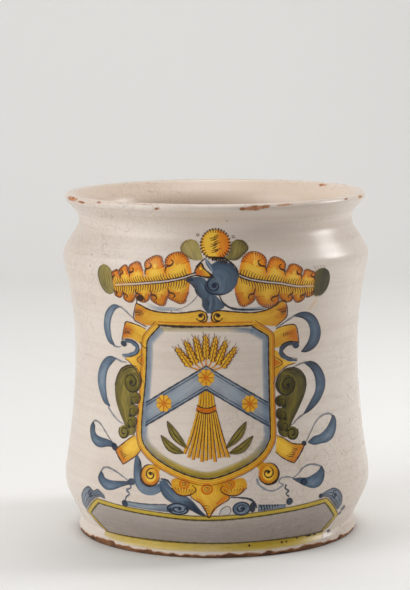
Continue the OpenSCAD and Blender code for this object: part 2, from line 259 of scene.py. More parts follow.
class Outline:
    """Section of the jar's wall, as arcs joined by short straight stretches."""

    ANGLE_STEP = math.radians(3)
    BELLY = 4

    def __init__(self, sizes: JarSizes) -> None:
        """Work out the turns.

        Args:
            sizes: Sizes of the jar.
        """
        self.sizes = s = sizes
        lip_round = s.wall / 2
        neck_r = s.shoulder_r - s.neck_in
        groove_r = s.belly_r - s.groove_in
        shoulder_h = s.height - s.shoulder_drop
        top = Turn(s.shoulder_r, shoulder_h, s.shoulder_top_round, s.shoulder_low_round, 1)
        low = Turn(s.belly_r, s.belly_h, s.belly_top_round, s.belly_low_round, 1)
        waist = Turn(s.waist_r, s.waist_h, self._widest(top, s.shoulder_low_round),
                     self._widest(low, s.belly_top_round), -1)
        self.lip = Turn(neck_r + s.lip_out, s.height - lip_round, lip_round, lip_round, 1)
        self.turns = [self.lip, Turn(neck_r, s.height - s.neck_drop, s.neck_round, s.neck_round, -1), top,
                      waist, low, Turn(groove_r, s.groove_h, s.groove_round, s.groove_round, -1),
                      Turn(groove_r + s.foot_out, s.foot_h, s.foot_round, s.foot_round, 1)]

    def _widest(self, swell: Turn, swell_round: float) -> float:
        """Give the widest round of the waist that still meets a swell.

        Args:
            swell: The swell.
            swell_round: Its round on the waist's side.

        Returns:
            The round.
        """
        dr = swell.r - self.sizes.waist_r
        dz = swell.z - self.sizes.waist_h
        return (1 - self.sizes.straight_share) * (dr * dr + dz * dz) / (2 * dr) - swell_round

    def _slope(self, i: int) -> float:
        """Give the angle of a stretch.

        Args:
            i: Number of the turn over it.

        Returns:
            The angle.
        """
        upper, lower = self.turns[i], self.turns[i + 1]
        total = upper.below + lower.above
        dr, dz = abs(upper.r - lower.r), upper.z - lower.z
        return math.atan2(dz, total - dr) - math.acos(total / math.hypot(total - dr, dz))

    def _sweep(self, start: float, end: float) -> Array:
        """List angles from start to end in even steps."""
        return np.linspace(start, end, max(4, math.ceil(abs(end - start) / self.ANGLE_STEP) + 1))

    def _half(self, turn: Turn, angle: float, depth: float, upper: bool) -> Array:
        """List points of a turn's upper or lower half, from its top.

        Args:
            turn: The turn.
            angle: Angle at which it meets the next stretch.
            depth: Depth under the outside.
            upper: Whether it is the upper half.

        Returns:
            Radius and height of each point.
        """
        bend, up = (turn.above, 1) if upper else (turn.below, -1)
        a = self._sweep(angle, 0) if upper else self._sweep(0, angle)
        rho = bend - turn.swell * depth
        r = turn.r - turn.swell * bend + turn.swell * rho * np.cos(a)
        return np.stack([r, turn.z + up * rho * np.sin(a)], 1)

    def _turn(self, i: int, depth: float) -> Array:
        """List points of a whole turn."""
        ends = [(self._slope(i - 1), True), (self._slope(i), False)]
        return np.vstack([
            self._half(self.turns[i], a, depth, upper)[0 if upper else 1:] for a, upper in ends])

    def outside(self, depth: float, end_h: float) -> Array:
        """List the outer wall from the lip's crest down to a height on the foot.

        Args:
            depth: Depth under the glazed outside.
            end_h: Height at which the wall ends.

        Returns:
            Radius and height of each point.
        """
        foot = len(self.turns) - 1
        return np.vstack([
            self._half(self.lip, math.pi / 2, depth, True),
            self._half(self.lip, self._slope(0), depth, False)[1:],
            *(self._turn(i, depth) for i in range(1, foot)),
            self._half(self.turns[foot], self._slope(foot - 1), depth, True),
            [[self.turns[foot].r - depth, end_h]]])

    def inside(self, depth: float) -> Array:
        """List the inner wall from the crest to the middle of the floor.

        Args:
            depth: Depth under the glazed inside.

        Returns:
            Radius and height of each point.
        """
        s, lip, outer = self.sizes, self.lip, self.sizes.wall - depth
        crest = self._sweep(math.pi / 2, math.pi - self._slope(0))
        rho = lip.above - depth
        crest_r, crest_z = lip.r - lip.above + rho * np.cos(crest), lip.z + rho * np.sin(crest)
        corner = s.belly_h - s.floor_h
        a = self._sweep(0, math.pi / 2)[1:]
        low_r = s.belly_r - s.wall - corner + (corner + depth) * np.cos(a)
        low_z = s.belly_h - (corner + depth) * np.sin(a)
        return np.vstack([
            np.stack([crest_r, crest_z], 1), *(self._turn(i, outer) for i in range(1, self.BELLY)),
            self._half(self.turns[self.BELLY], self._slope(self.BELLY - 1), outer, True),
            np.stack([low_r, low_z], 1), [[0, s.floor_h - depth]]])

    def base(self, depth: float) -> Array:
        """List the underside from the standing edge to the middle of its hollow.

        Args:
            depth: Depth under the glazed outside.

        Returns:
            Radius and height of each point.
        """
        s, rho = self.sizes, self.sizes.edge_round
        foot_r = self.turns[-1].r - depth
        a = self._sweep(0, math.pi / 2)[1:]
        edge = np.stack([foot_r - rho + rho * np.cos(a), rho * (1 - np.sin(a))], 1)
        hollow = [[s.recess_r, 0], [s.recess_r - s.recess_slope, s.recess_d], [0, s.recess_d]]
        return np.vstack([edge, hollow])


def spaced(path: Array, step: float) -> Array:
    """Walk a path again in even steps of about the given length."""
    run = arc_lengths(path)
    return at_shares(path, np.linspace(0, 1, max(2, round(run[-1] / step) + 1)))


@dataclass(frozen=True)
class Wave:
    """A wave round the jar: its height, turns and start, and the rise of the wall for each radian."""

    height: float
    turns: float
    start: float = 0
    pitch: float = math.inf

    def at(self, theta: Array, z: Array | float = 0) -> Array:
        """Give the wave at angles and heights."""
        return self.height * np.sin(z / self.pitch + self.turns * theta + self.start)


class JarSurface:
    """Outer face of the jar, with the slight unevenness of thrown clay."""

    SAMPLES = 1800
    FOOT_FADE = 12
    LIP_H = 214
    LIP_FADE = 10
    RINGS = Wave(0.03, 1, 0, 1.45)
    RING_DRIFT = Wave(1.16, 0, 0, 23)
    OTHERS = (Wave(0.015, 0, 1.3, 0.62), Wave(0.22, 2, 0.6), Wave(0.12, 3, 0, 40))

    def __init__(self, sizes: JarSizes) -> None:
        """Read the outer radius at every height.

        Args:
            sizes: Sizes of the jar.
        """
        self.sizes = sizes
        self.outline = Outline(sizes)
        path = self.outline.outside(0, 0)
        below_lip = path[path[:, 1] <= self.outline.lip.z][::-1]
        self._z = np.linspace(0, self.outline.lip.z, self.SAMPLES)
        self._r = np.interp(self._z, below_lip[:, 1], below_lip[:, 0])
        self._slope = np.gradient(self._r, self._z)

    def unevenness(self, theta: Array, z: Array) -> Array:
        """Give how far the wall stands out from a true turned form, in millimetres.

        Args:
            theta: Angle round the jar.
            z: Height over the table.

        Returns:
            The distance at each place.
        """
        fade = np.clip(z / self.FOOT_FADE, 0, 1) * np.clip((self.LIP_H - z) / self.LIP_FADE, 0, 1)
        rings = self.RINGS.at(theta, z + self.RING_DRIFT.at(theta, z))
        return fade * (rings + sum(wave.at(theta, z) for wave in self.OTHERS))

    def place(self, u: Array, z: Array, lift: float) -> Array:
        """Place points of the drawing in space.

        Args:
            u: Arc round the jar.
            z: Height over the table.
            lift: Height over the glaze.

        Returns:
            Points in metres.
        """
        theta = u / self.sizes.wrap_r
        slope = np.interp(z, self._z, self._slope)
        steep = np.sqrt(1 + slope ** 2)
        r = np.interp(z, self._z, self._r) + self.unevenness(theta, z) + lift / steep
        return np.stack([r * np.sin(theta), -r * np.cos(theta), z - lift * slope / steep], axis=-1) * MM


# Shader graphs


class Value:
    """A socket of a shader graph that adds a node for each operation."""

    def __init__(self, shader: Shader, socket: bpy.types.NodeSocket) -> None:
        """Wrap a socket of a shader."""
        self.shader = shader
        self.socket = socket

    def _maths(self, operation: str, *values: Any) -> Value:
        """Add a Math node over values."""
        return self.shader.node("ShaderNodeMath", {"operation": operation}, dict(enumerate(values)))

    def __add__(self, other: Any) -> Value:
        """Add."""
        return self._maths("ADD", self, other)

    __radd__ = __add__

    def __sub__(self, other: Any) -> Value:
        """Subtract."""
        return self._maths("SUBTRACT", self, other)

    def __rsub__(self, other: Any) -> Value:
        """Subtract from a number."""
        return self._maths("SUBTRACT", other, self)

    def __mul__(self, other: Any) -> Value:
        """Multiply."""
        return self._maths("MULTIPLY", self, other)

    __rmul__ = __mul__

    def __gt__(self, other: Any) -> Value:
        """Give 1 where this is greater."""
        return self._maths("GREATER_THAN", self, other)

    def clamped(self) -> Value:
        """Keep between 0 and 1."""
        return self.shader.node("ShaderNodeClamp", None, {"Value": self})

    def between(self, low: float, high: float) -> Value:
        """Rise smoothly from 0 at low to 1 at high."""
        return self.shader.node(
            "ShaderNodeMapRange", {"interpolation_type": "SMOOTHSTEP"},
            {"Value": self, "From Min": low, "From Max": high})


class Shader:
    """A material with one Principled surface, built node by node."""

    MIX_INPUTS = (0, 6, 7)
    MIX_RESULT = 2

    def __init__(self, name: str) -> None:
        """Start an empty material.

        Args:
            name: Its name.
        """
        self.material = bpy.data.materials.new(name)
        self.material.use_nodes = True
        self.tree = self.material.node_tree
        self.tree.nodes.clear()

    def node(self, kind: str, settings: dict[str, Any] | None = None, inputs: dict[Any, Any] | None = None,
             output: int | str = 0) -> Value:
        """Add a node.

        Args:
            kind: Type of the node.
            settings: Properties, which are set first, or the stops of a ramp.
            inputs: Values or links of its sockets.
            output: Socket that is returned.

        Returns:
            The chosen output.
        """
        made = self.tree.nodes.new(kind)
        for name, value in (settings or {}).items():
            if name == "stops":
                self._set_stops(made.color_ramp, value)
            else:
                setattr(made, name, value)
        for key, value in (inputs or {}).items():
            if isinstance(value, Value):
                self.tree.links.new(value.socket, made.inputs[key])
            else:
                made.inputs[key].default_value = value
        return Value(self, made.outputs[output])

    @staticmethod
    def _set_stops(ramp: bpy.types.ColorRamp, stops: Sequence[tuple[float, Colour]]) -> None:
        """Give a colour ramp its stops.

        Args:
            ramp: The ramp.
            stops: Places and colours.
        """
        while len(ramp.elements) < len(stops):
            ramp.elements.new(1)
        for element, (place, colour) in zip(ramp.elements, stops):
            element.position = place
            element.color = (*colour, 1)

    def mix(self, share: Any, first: Any, second: Any) -> Value:
        """Mix two colours.

        Args:
            share: Share of the second colour.
            first: First colour.
            second: Second colour.

        Returns:
            The mixed colour.
        """
        ends = [c if isinstance(c, Value) else (*c, 1) for c in (first, second)]
        inputs = dict(zip(self.MIX_INPUTS, (share, *ends)))
        return self.node("ShaderNodeMix", {"data_type": "RGBA"}, inputs, self.MIX_RESULT)

    def ramp(self, value: Value, stops: Sequence[tuple[float, Colour]]) -> Value:
        """Look a value up in a row of colours."""
        return self.node("ShaderNodeValToRGB", {"stops": stops}, {"Fac": value})

    def here(self) -> Value:
        """Give the place on the object, in metres."""
        return self.node("ShaderNodeTexCoord", None, None, "Object")

    def stretched(self, vector: Value, by: Colour) -> Value:
        """Multiply a vector along its three directions."""
        return self.node("ShaderNodeVectorMath", {"operation": "MULTIPLY"}, {0: vector, 1: by})

    def noise(self, vector: Value, scale: float, detail: float = 2, output: str = "Fac") -> Value:
        """Add soft noise, about 0.5 in the middle."""
        return self.node(
            "ShaderNodeTexNoise", None, {"Vector": vector, "Scale": scale, "Detail": detail}, output)

    def cells(self, vector: Value, scale: float, feature: str, output: str) -> Value:
        """Add a pattern of random cells."""
        return self.node(
            "ShaderNodeTexVoronoi", {"feature": feature}, {"Vector": vector, "Scale": scale}, output)

    def painted(self, name: str, output: str = "Fac") -> Value:
        """Read a value that the mesh carries."""
        return self.node("ShaderNodeAttribute", {"attribute_name": name}, None, output)

    def surface(self, inputs: dict[str, Any], height: Value | None = None, bump: float = 0,
                reach: float = 0) -> Material:
        """Close the graph with a Principled surface.

        Args:
            inputs: Sockets of the Principled node.
            height: Height of a bump, where it has one.
            bump: Strength of the bump.
            reach: Height in metres that the bump stands for.

        Returns:
            The finished material.
        """
        if height is not None:
            relief = {"Height": height, "Strength": bump, "Distance": reach}
            inputs = {**inputs, "Normal": self.node("ShaderNodeBump", None, relief)}
        shaded = self.node("ShaderNodeBsdfPrincipled", None, inputs)
        end = self.tree.nodes.new("ShaderNodeOutputMaterial")
        self.tree.links.new(shaded.socket, end.inputs["Surface"])
        return self.material


# Finishes


@dataclass(frozen=True)
class TinGlaze:
    """White tin glaze with throwing lines, craquelure, pinholes and places worn to the clay."""

    white: Colour = from_screen(224, 212, 201)
    warm: Colour = from_screen(211, 196, 183)
    inner: Colour = from_screen(219, 199, 181)
    crack: Colour = from_screen(112, 92, 76)
    speck: Colour = from_screen(96, 74, 56)
    chip: Colour = from_screen(190, 138, 102)
    chip_deep: Colour = from_screen(146, 92, 58)
    gloss: float = 0.25
    specular: float = 0.3
    bump: float = 0.12
    bump_height: float = 0.0004
    cloud_scale: float = 16
    ring_stretch: Colour = (7, 7, 420)
    sway_scale: float = 60
    sway: float = 0.012
    patch_scale: float = 9
    wide_cracks: float = 105
    fine_cracks: float = 240
    pinhole_scale: float = 95
    pinhole_choice: float = 41
    chip_scale: float = 520
    clay_scale: float = 300
    peel_scale: float = 230

    def _cracks(self, shader: Shader, here: Value) -> Value:
        """Work out the craquelure, which comes in patches.

        Args:
            shader: Graph that the nodes go to.
            here: Place on the jar.

        Returns:
            How much of a crack lies at each place.
        """
        wander = shader.node(
            "ShaderNodeVectorMath", {"operation": "SCALE"},
            {0: shader.noise(here, self.sway_scale, 2, "Color"), "Scale": self.sway})
        bent = shader.node("ShaderNodeVectorMath", {"operation": "ADD"}, {0: here, 1: wander})
        patch = shader.noise(here, self.patch_scale, 1).between(0.42, 0.62)
        wide, fine = (shader.cells(bent, scale, "DISTANCE_TO_EDGE", "Distance")
                      for scale in (self.wide_cracks, self.fine_cracks))
        lines = (1 - wide.between(0.004, 0.02)) * 0.5 + (1 - fine.between(0.006, 0.04)) * 0.4
        return lines * (0.25 + 0.75 * patch)

    def coat(self, shader: Shader) -> tuple[Value, Value, Value]:
        """Work out the glaze at each place.

        Args:
            shader: Graph that the nodes go to.

        Returns:
            Colour, roughness and height.
        """
        here = shader.here()
        cloud = shader.noise(here, self.cloud_scale, 3)
        rings = shader.noise(shader.stretched(here, self.ring_stretch), 1, 3)
        cracks = self._cracks(shader, here)
        hole = 1 - shader.cells(here, self.pinhole_scale, "F1", "Distance").between(0.03, 0.07)
        pinholes = hole * (shader.noise(here, self.pinhole_choice, 0) > 0.58)
        lost = shader.painted("bare")
        bare = (lost + (shader.noise(here, self.chip_scale, 3) - 0.5) * 0.7).between(0.34, 0.66)
        worn = bare * lost.between(0.02, 0.1)
        tint = (cloud.between(0.35, 0.7) * 0.6 + rings.between(0.4, 0.7) * 0.4).clamped()
        colour = shader.mix(tint, self.white, self.warm)
        colour = shader.mix(shader.painted("inside") * 0.85, colour, self.inner)
        colour = shader.mix(cracks * 0.5, colour, self.crack)
        colour = shader.mix(pinholes * 0.7, colour, self.speck)
        clay = shader.mix(
            shader.noise(here, self.clay_scale, 4).between(0.4, 0.65), self.chip, self.chip_deep)
        colour = shader.mix(worn, colour, clay)
        rough = self.gloss + cloud * 0.06 + worn * 0.55
        peel = shader.noise(here, self.peel_scale, 2)
        height = peel * 0.35 + rings * 0.5 - cracks * 0.25 - pinholes * 0.6 - worn * 0.8
        return colour, rough, height

    def material(self) -> Material:
        """Make the plain glaze.

        Returns:
            The material.
        """
        shader = Shader("tin_glaze")
        colour, rough, height = self.coat(shader)
        sockets = {"Base Color": colour, "Roughness": rough, "Specular IOR Level": self.specular}
        return shader.surface(sockets, height, self.bump, self.bump_height)


@dataclass(frozen=True)
class BareClay:
    """Fired earthenware where no glaze covers it."""

    pale: Colour = from_screen(150, 108, 74)
    body: Colour = from_screen(114, 76, 46)
    dark: Colour = from_screen(66, 42, 26)
    blotch_scale: float = 120
    grit_scale: float = 900
    rough: float = 0.82
    bump: float = 0.5
    bump_height: float = 0.0006

    def material(self) -> Material:
        """Make the clay.

        Returns:
            The material.
        """
        shader = Shader("bare_clay")
        here = shader.here()
        blotch = shader.noise(here, self.blotch_scale, 4)
        grit = shader.noise(here, self.grit_scale, 2)
        stops = ((0.34, self.dark), (0.5, self.body), (0.68, self.pale))
        sockets = {"Base Color": shader.ramp(blotch * 0.75 + grit * 0.25, stops), "Roughness": self.rough}
        return shader.surface(sockets, blotch + grit * 0.6, self.bump, self.bump_height)


class Pigment(Enum):
    """Colours of the painter's palette."""

    YELLOW = "yellow"
    ORANGE = "orange"
    OLIVE = "olive"
    BLUE = "blue"
    BROWN = "brown"
    BORDER = "border"
    # Pale grey: the plume ribs' pigment, and painted shade over the label panel.
    PALE_AND_SHADE = "pale"


YELLOW, ORANGE, OLIVE, BLUE, BROWN, BORDER, PALE_AND_SHADE = Pigment


@dataclass(frozen=True)
class PigmentLook:
    """A pigment's screen colours from a thin wash to a thick pool, and how much its streaks show."""

    thin: Shade
    body: Shade
    deep: Shade
    streak: float

    STREAKS = (0.09, 1.5, 1)
    POOLS = (0.22, 0.3, 1)
    POOL_DEPTH = 0.35
    OPAQUE = 0.97
    ROUGHER = 0.03

    def steps(self) -> list[Colour]:
        """List the linear colours of thin, middling and thick paint."""
        return [from_screen(*shade) for shade in (self.thin, self.body, self.deep)]

    def colour(self, tone: Array) -> Array:
        """Give the linear colour at tones."""
        return np.stack([levels(row, np.clip(tone, 0, 1)) for row in zip(*self.steps())], -1)

    def material(self, name: str, glaze: TinGlaze) -> Material:
        """Lay the pigment into the glaze.

        Args:
            name: Name of the material.
            glaze: Glaze under the pigment.

        Returns:
            The material.
        """
        shader = Shader(name)
        ground, rough, height = glaze.coat(shader)
        stroke = shader.painted("stroke", "Vector")
        streaks = shader.noise(shader.stretched(stroke, self.STREAKS), 1, 3) - 0.5
        pools = shader.noise(shader.stretched(stroke, self.POOLS), 1, 2) - 0.5
        tone = shader.painted("tone") + streaks * self.streak + pools * self.POOL_DEPTH
        colour = shader.ramp(tone, list(zip((0, 0.5, 1), self.steps())))
        cover = shader.painted("cover")
        share = (cover + streaks * 0.5 * (1 - cover)) * cover.between(0, 0.25)
        below = shader.painted("painted") * self.OPAQUE
        ground = shader.mix(below, ground, shader.painted("ground", "Color"))
        painted = shader.mix((share * self.OPAQUE).clamped(), ground, colour)
        sockets = {"Base Color": painted, "Roughness": rough + self.ROUGHER,
                   "Specular IOR Level": glaze.specular}
        return shader.surface(sockets, height, glaze.bump, glaze.bump_height)


LOOKS = {YELLOW: PigmentLook((242, 194, 58), (208, 149, 4), (200, 104, 0), 0.5),
         ORANGE: PigmentLook((244, 196, 62), (234, 152, 22), (218, 108, 0), 0.5),
         OLIVE: PigmentLook((168, 148, 62), (107, 94, 18), (38, 35, 8), 0.6),
         BLUE: PigmentLook((134, 150, 165), (72, 93, 115), (22, 33, 52), 0.6),
         BROWN: PigmentLook((152, 86, 20), (84, 44, 12), (32, 18, 9), 0.5),
         BORDER: PigmentLook((216, 190, 82), (186, 156, 34), (78, 68, 18), 0.5),
         # The pale grey also serves as painted shade over the label panel.
         PALE_AND_SHADE: PigmentLook((206, 191, 184), (168, 154, 152), (112, 101, 99), 0.3)}


# Meshes


@dataclass
class Mesh:
    """Points and faces of a piece under construction, with the values that its points carry."""

    points: list[Array] = field(default_factory=list)
    faces: list[Sequence[int]] = field(default_factory=list)
    smooth: list[bool] = field(default_factory=list)
    finish: list[int] = field(default_factory=list)
    values: dict[str, list[Array]] = field(default_factory=dict)
    count: int = 0

    def add_points(self, points: Array, **values: Array) -> int:
        """Add points with their values.

        Args:
            points: Places in metres, one row each.
            values: Numbers or vectors that the points carry.

        Returns:
            Number of the first new point.
        """
        first = self.count
        self.points.append(points)
        self.count += len(points)
        for name, value in values.items():
            self.values.setdefault(name, []).append(value)
        return first

    def add_faces(self, faces: Array, smooth: bool = True, finish: int = 0) -> None:
        """Add faces of one finish.

        Args:
            faces: Point numbers of each face.
            smooth: Whether they are shaded smooth.
            finish: Number of their material.
        """
        rows = faces.tolist()
        self.faces.extend(rows)
        self.smooth.extend([smooth] * len(rows))
        self.finish.extend([finish] * len(rows))

    def piece(self, name: str, materials: Sequence[Material]) -> bpy.types.Object:
        """Make the Blender object.

        Args:
            name: Name of the piece.
            materials: Materials in the order of the faces' finishes.

        Returns:
            The object, linked into the scene.
        """
        mesh = bpy.data.meshes.new(name)
        mesh.from_pydata(np.vstack(self.points), [], self.faces)
        for material in materials:
            mesh.materials.append(material)
        mesh.polygons.foreach_set("use_smooth", self.smooth)
        mesh.polygons.foreach_set("material_index", self.finish)
        for key, parts in self.values.items():
            data = np.concatenate(parts)
            kind, slot = ("FLOAT", "value") if data.ndim == 1 else ("FLOAT_VECTOR", "vector")
            mesh.attributes.new(key, kind, "POINT").data.foreach_set(slot, data.astype(np.float32).ravel())
        mesh.update()
        thing = bpy.data.objects.new(name, mesh)
        bpy.context.scene.collection.objects.link(thing)
        return thing


def strip_faces(rows: int, columns: int, first: int, loop_rows: bool = False,
                loop_columns: bool = False) -> Array:
    """List the four-sided faces of a grid of points.

    Args:
        rows: Rows of points.
        columns: Points in a row.
        first: Number of the first point.
        loop_rows: Whether the last row meets the first.
        loop_columns: Whether each row closes.

    Returns:
        Point numbers, four for each face.
    """
    i = np.arange(rows if loop_rows else rows - 1)[:, None]
    j = np.arange(columns if loop_columns else columns - 1)[None, :]
    i2, j2 = (i + 1) % rows, (j + 1) % columns
    corners = np.broadcast_arrays(i * columns + j, i * columns + j2, i2 * columns + j2, i2 * columns + j)
    return first + np.stack(corners, -1).reshape(-1, 4)


def dress(piece: bpy.types.Object, node: str) -> None:
    """Fix a piece to the body, in place of a node of the frame.

    Args:
        piece: The piece.
        node: Node that it replaces.
    """
    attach(piece, BODY)
    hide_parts(node)
    LOG.info("%s has %d faces", piece.name, len(piece.data.polygons))


# The turned pieces


@dataclass(frozen=True)
class Chip:
    """A place on the lip that has lost its glaze."""

    angle: float
    spread: float
    height: float
    reach: float
    depth: float

    FULL = 1.25
    STEEP = 1.6

    def weight(self, theta: Array, z: Array) -> Array:
        """Give 1 in the middle of the chip, falling to 0 at its edge."""
        turn = (np.degrees(theta) - self.angle + 180) % 360 - 180
        return np.clip(self.FULL - np.hypot(turn / self.spread, (z - self.height) / self.reach), 0, 1)


@dataclass(frozen=True)
class GlazeEdge:
    """The ragged lower edge of the outer glaze on the foot."""

    level: float = 1.9
    lowest: float = 0.6
    highest: float = 4.2
    waves: Sequence[Wave] = (Wave(0.4, 3, -0.6), Wave(0.3, 11))
    ripples: Sequence[tuple[Wave, Wave]] = (
        (Wave(0.3, 29, 2), Wave(1, 7)), (Wave(0.5, 61, 1.3), Wave(1, 13)))
    bite: float = 4
    bite_turns: int = 17
    bite_sway: Wave = Wave(3, 2)
    bite_from: float = 0.7
    worn: float = 1.6
    worn_angle: float = 2 * math.pi - 0.85
    worn_spread: float = 0.28

    def height(self, theta: Array) -> Array:
        """Give the height at which the glaze ends.

        Args:
            theta: Angles round the jar.

        Returns:
            The height at each angle.
        """
        wave = sum(wave.at(theta) for wave in self.waves)
        ripple = sum(one.at(theta) * other.at(theta) for one, other in self.ripples)
        bites = np.clip(np.sin(self.bite_turns * theta + self.bite_sway.at(theta)) - self.bite_from, 0, 1)
        worn = self.worn * np.exp(-((theta - self.worn_angle) / self.worn_spread) ** 2)
        return np.clip(self.level + wave + ripple + self.bite * bites + worn, self.lowest, self.highest)


@dataclass
class Pot:
    """The thrown jar: its clay and its two coats of glaze."""

    surface: JarSurface
    columns: int = 288
    fine_step: float = 0.33
    face_thinned: int = 3
    fine_below: float = 14
    back_step: float = 0.8
    back_thinned: int = 7
    inner_step: float = 1.6
    inner_back_step: float = 6
    clay_step: float = 1.3
    clay_inner_step: float = 5
    end_h: float = 0.4
    edge: GlazeEdge = GlazeEdge()
    edge_below: float = 9
    edge_reach: float = 1.6
    edge_bare: float = 0.9
    crest_h: float = 219.4
    crest_reach: float = 1.2
    crest_bare: float = 0.34
    crest_patches: tuple[Wave, Wave] = (Wave(0.18, 5, 1), Wave(1, 3))
    inner_from: float = 217.6
    inner_reach: float = 2.2
    inner_fade: float = 3
    inner_bare: float = 0.8
    lip_sunk: float = 0.22
    lip_waves: Sequence[Wave] = (Wave(0.14, 2, 1.1), Wave(0.08, 5))
    lip_from: float = 206
    lip_reach: float = 12
    chips: Sequence[Chip] = (
        Chip(14.5, 3.6, 217.5, 2.1, 0.4), Chip(10.5, 2.6, 217.2, 1.3, 0.2),
        Chip(18.5, 2.4, 218.2, 1.2, 0.25), Chip(-21.5, 1.8, 217, 1.1, 0.15), Chip(-70, 8, 218.2, 1.6, 0.3),
        Chip(-60, 4, 217.4, 1, 0.15), Chip(26, 5, 218.8, 0.7, 0.1), Chip(72, 4, 218, 1.2, 0.2),
        Chip(58, 2, 218.6, 0.7, 0.1), Chip(-48, 2, 218.8, 0.7, 0.1), Chip(128, 4, 218.2, 1.3, 0.2),
        Chip(-150, 2.4, 218.6, 0.9, 0.15))

    def _bare(self, theta: Array, z: Array) -> tuple[Array, Array]:
        """Work out the wear of the lip.

        Args:
            theta: Angle of each place.
            z: Height of each place.

        Returns:
            How bare each place is, and how deep it is chipped.
        """
        bare, depth = np.zeros(z.shape), np.zeros(z.shape)
        for chip in self.chips:
            weight = chip.weight(theta, z)
            bare = np.maximum(bare, weight)
            depth = np.maximum(depth, chip.depth * np.clip(weight * chip.STEEP, 0, 1))
        one, other = self.crest_patches
        rim = np.clip(1 - np.abs(z - self.crest_h) / self.crest_reach, 0, 1)
        return np.maximum(bare, rim * (self.crest_bare + one.at(theta) * other.at(theta))), depth

    def _grid(self, path: Array) -> tuple[Array, Array, Array]:
        """Turn a path round the axis.

        Args:
            path: Radius and height of each point.

        Returns:
            Radius, height and angle of every point.
        """
        turns = np.arange(self.columns) * 2 * math.pi / self.columns
        r, z = (np.repeat(path[:, i:i + 1], self.columns, axis=1) for i in range(2))
        return r, z, np.broadcast_to(turns, r.shape)

    @staticmethod
    def _spot(r: Array, z: Array, theta: Array) -> Array:
        """Give points in metres."""
        return np.stack([r * np.sin(theta), -r * np.cos(theta), z], -1).reshape(-1, 3) * MM

    def _lip_wave(self, theta: Array, z: Array) -> Array:
        """Give how much lower the hand-made lip is than a level one."""
        low = self.lip_sunk + sum(wave.at(theta) for wave in self.lip_waves)
        return low * np.clip((z - self.lip_from) / self.lip_reach, 0, 1)

    def _rows(self, path: Array, step: float, thinned: int) -> Array:
        """Space rows along the wall, close together over the foot and thinned out above it.

        Args:
            path: Radius and height along the wall.
            step: Step between rows over the foot.
            thinned: Which rows are kept above it, such as every third.

        Returns:
            Radius and height of each row.
        """
        rows = spaced(path, step)
        upper = rows[:, 1] > self.fine_below
        return np.vstack([rows[upper][::thinned], rows[~upper]])

    def glaze_outside(self, white: Material) -> None:
        """Build the outer coat as a closed ring.

        Args:
            white: Its finish.
        """
        s, outline = self.surface.sizes, self.surface.outline
        face = self._rows(outline.outside(0, self.end_h), self.fine_step, self.face_thinned)
        back = self._rows(outline.outside(s.glaze, self.end_h), self.back_step, self.back_thinned)[::-1]
        r, z, theta = self._grid(np.vstack([face, back]))
        end = self.edge.height(theta)
        low = s.foot_h - (s.foot_h - z) * (s.foot_h - end) / (s.foot_h - self.end_h)
        z = np.where(z < s.foot_h, low, z)
        front = np.zeros(r.shape)
        front[:len(face)] = 1
        bare, depth = self._bare(theta, z)
        r = r + front * (self.surface.unevenness(theta, z) - depth)
        z = z - self._lip_wave(theta, z)
        edge = np.clip(1 - (z - end) / self.edge_reach, 0, 1) * self.edge_bare * (z < self.edge_below)
        inside = np.clip((z - self.inner_from) / self.inner_reach, 0, 1) / 2
        mesh = Mesh()
        mesh.add_points(self._spot(r, z, theta), bare=np.maximum(bare, edge).ravel(), inside=inside.ravel())
        mesh.add_faces(strip_faces(len(r), self.columns, 0, True, True)[:, ::-1])
        dress(mesh.piece("glaze_outside", [white]), "outside_glaze")

    def glaze_inside(self, white: Material) -> None:
        """Build the inner coat as a closed bowl.

        Args:
            white: Its finish.
        """
        face = spaced(self.surface.outline.inside(0), self.inner_step)
        back = spaced(self.surface.outline.inside(self.surface.sizes.glaze), self.inner_back_step)[::-1]
        bowl = self._bowl("glaze_inside", face, back, white, True)
        dress(bowl, "inside_glaze")

    def clay(self, clay: Material) -> None:
        """Build the clay wall, whose foot shows under the glaze.

        Args:
            clay: Its finish.
        """
        s, outline = self.surface.sizes, self.surface.outline
        wall = np.vstack([outline.outside(s.glaze, s.edge_round), outline.base(s.glaze)])
        inner = spaced(outline.inside(s.glaze), self.clay_inner_step)
        bowl = self._bowl("clay_wall", inner, spaced(wall, self.clay_step)[::-1], clay, False)
        dress(bowl, "clay_body")

    def _bowl(self, name: str, face: Array, back: Array, material: Material,
              glazed: bool) -> bpy.types.Object:
        """Build a closed bowl from its upper face, crest to middle, and its under face, middle to crest.

        Args:
            name: Name of the piece.
            face: Radius and height along the upper face.
            back: Radius and height along the under face.
            material: Finish.
            glazed: Whether the piece carries the glaze's values.

        Returns:
            The piece.
        """
        rows = np.vstack([face[:-1], back[1:]])
        r, z, theta = self._grid(rows)
        z = z - self._lip_wave(theta, z)
        bare, _ = self._bare(theta, z)
        inside = (np.clip((self.surface.sizes.height - z) / self.inner_fade, 0, 1) + 1) / 2
        mesh = Mesh()
        values = {"bare": bare.ravel() * self.inner_bare, "inside": inside.ravel()} if glazed else {}
        mesh.add_points(self._spot(r, z, theta), **values)
        poles = np.array([[0, 0, face[-1, 1]], [0, 0, back[0, 1]]]) * MM
        ends = {"bare": np.zeros(2), "inside": np.ones(2)} if glazed else {}
        first = mesh.add_points(poles, **ends)
        n, m, cut = self.columns, len(rows), len(face) - 1
        mesh.add_faces(strip_faces(cut, n, 0, False, True))
        mesh.add_faces(strip_faces(m - cut, n, cut * n, False, True))
        j = np.arange(n)
        ahead = (j + 1) % n
        mesh.add_faces(np.stack([(m - 1) * n + j, (m - 1) * n + ahead, ahead, j], 1))
        last = (cut - 1) * n
        mesh.add_faces(np.stack([last + j, last + ahead, np.full(n, first)], 1))
        mesh.add_faces(np.stack([cut * n + ahead, cut * n + j, np.full(n, first + 1)], 1))
        return mesh.piece(name, [material])


# The painting


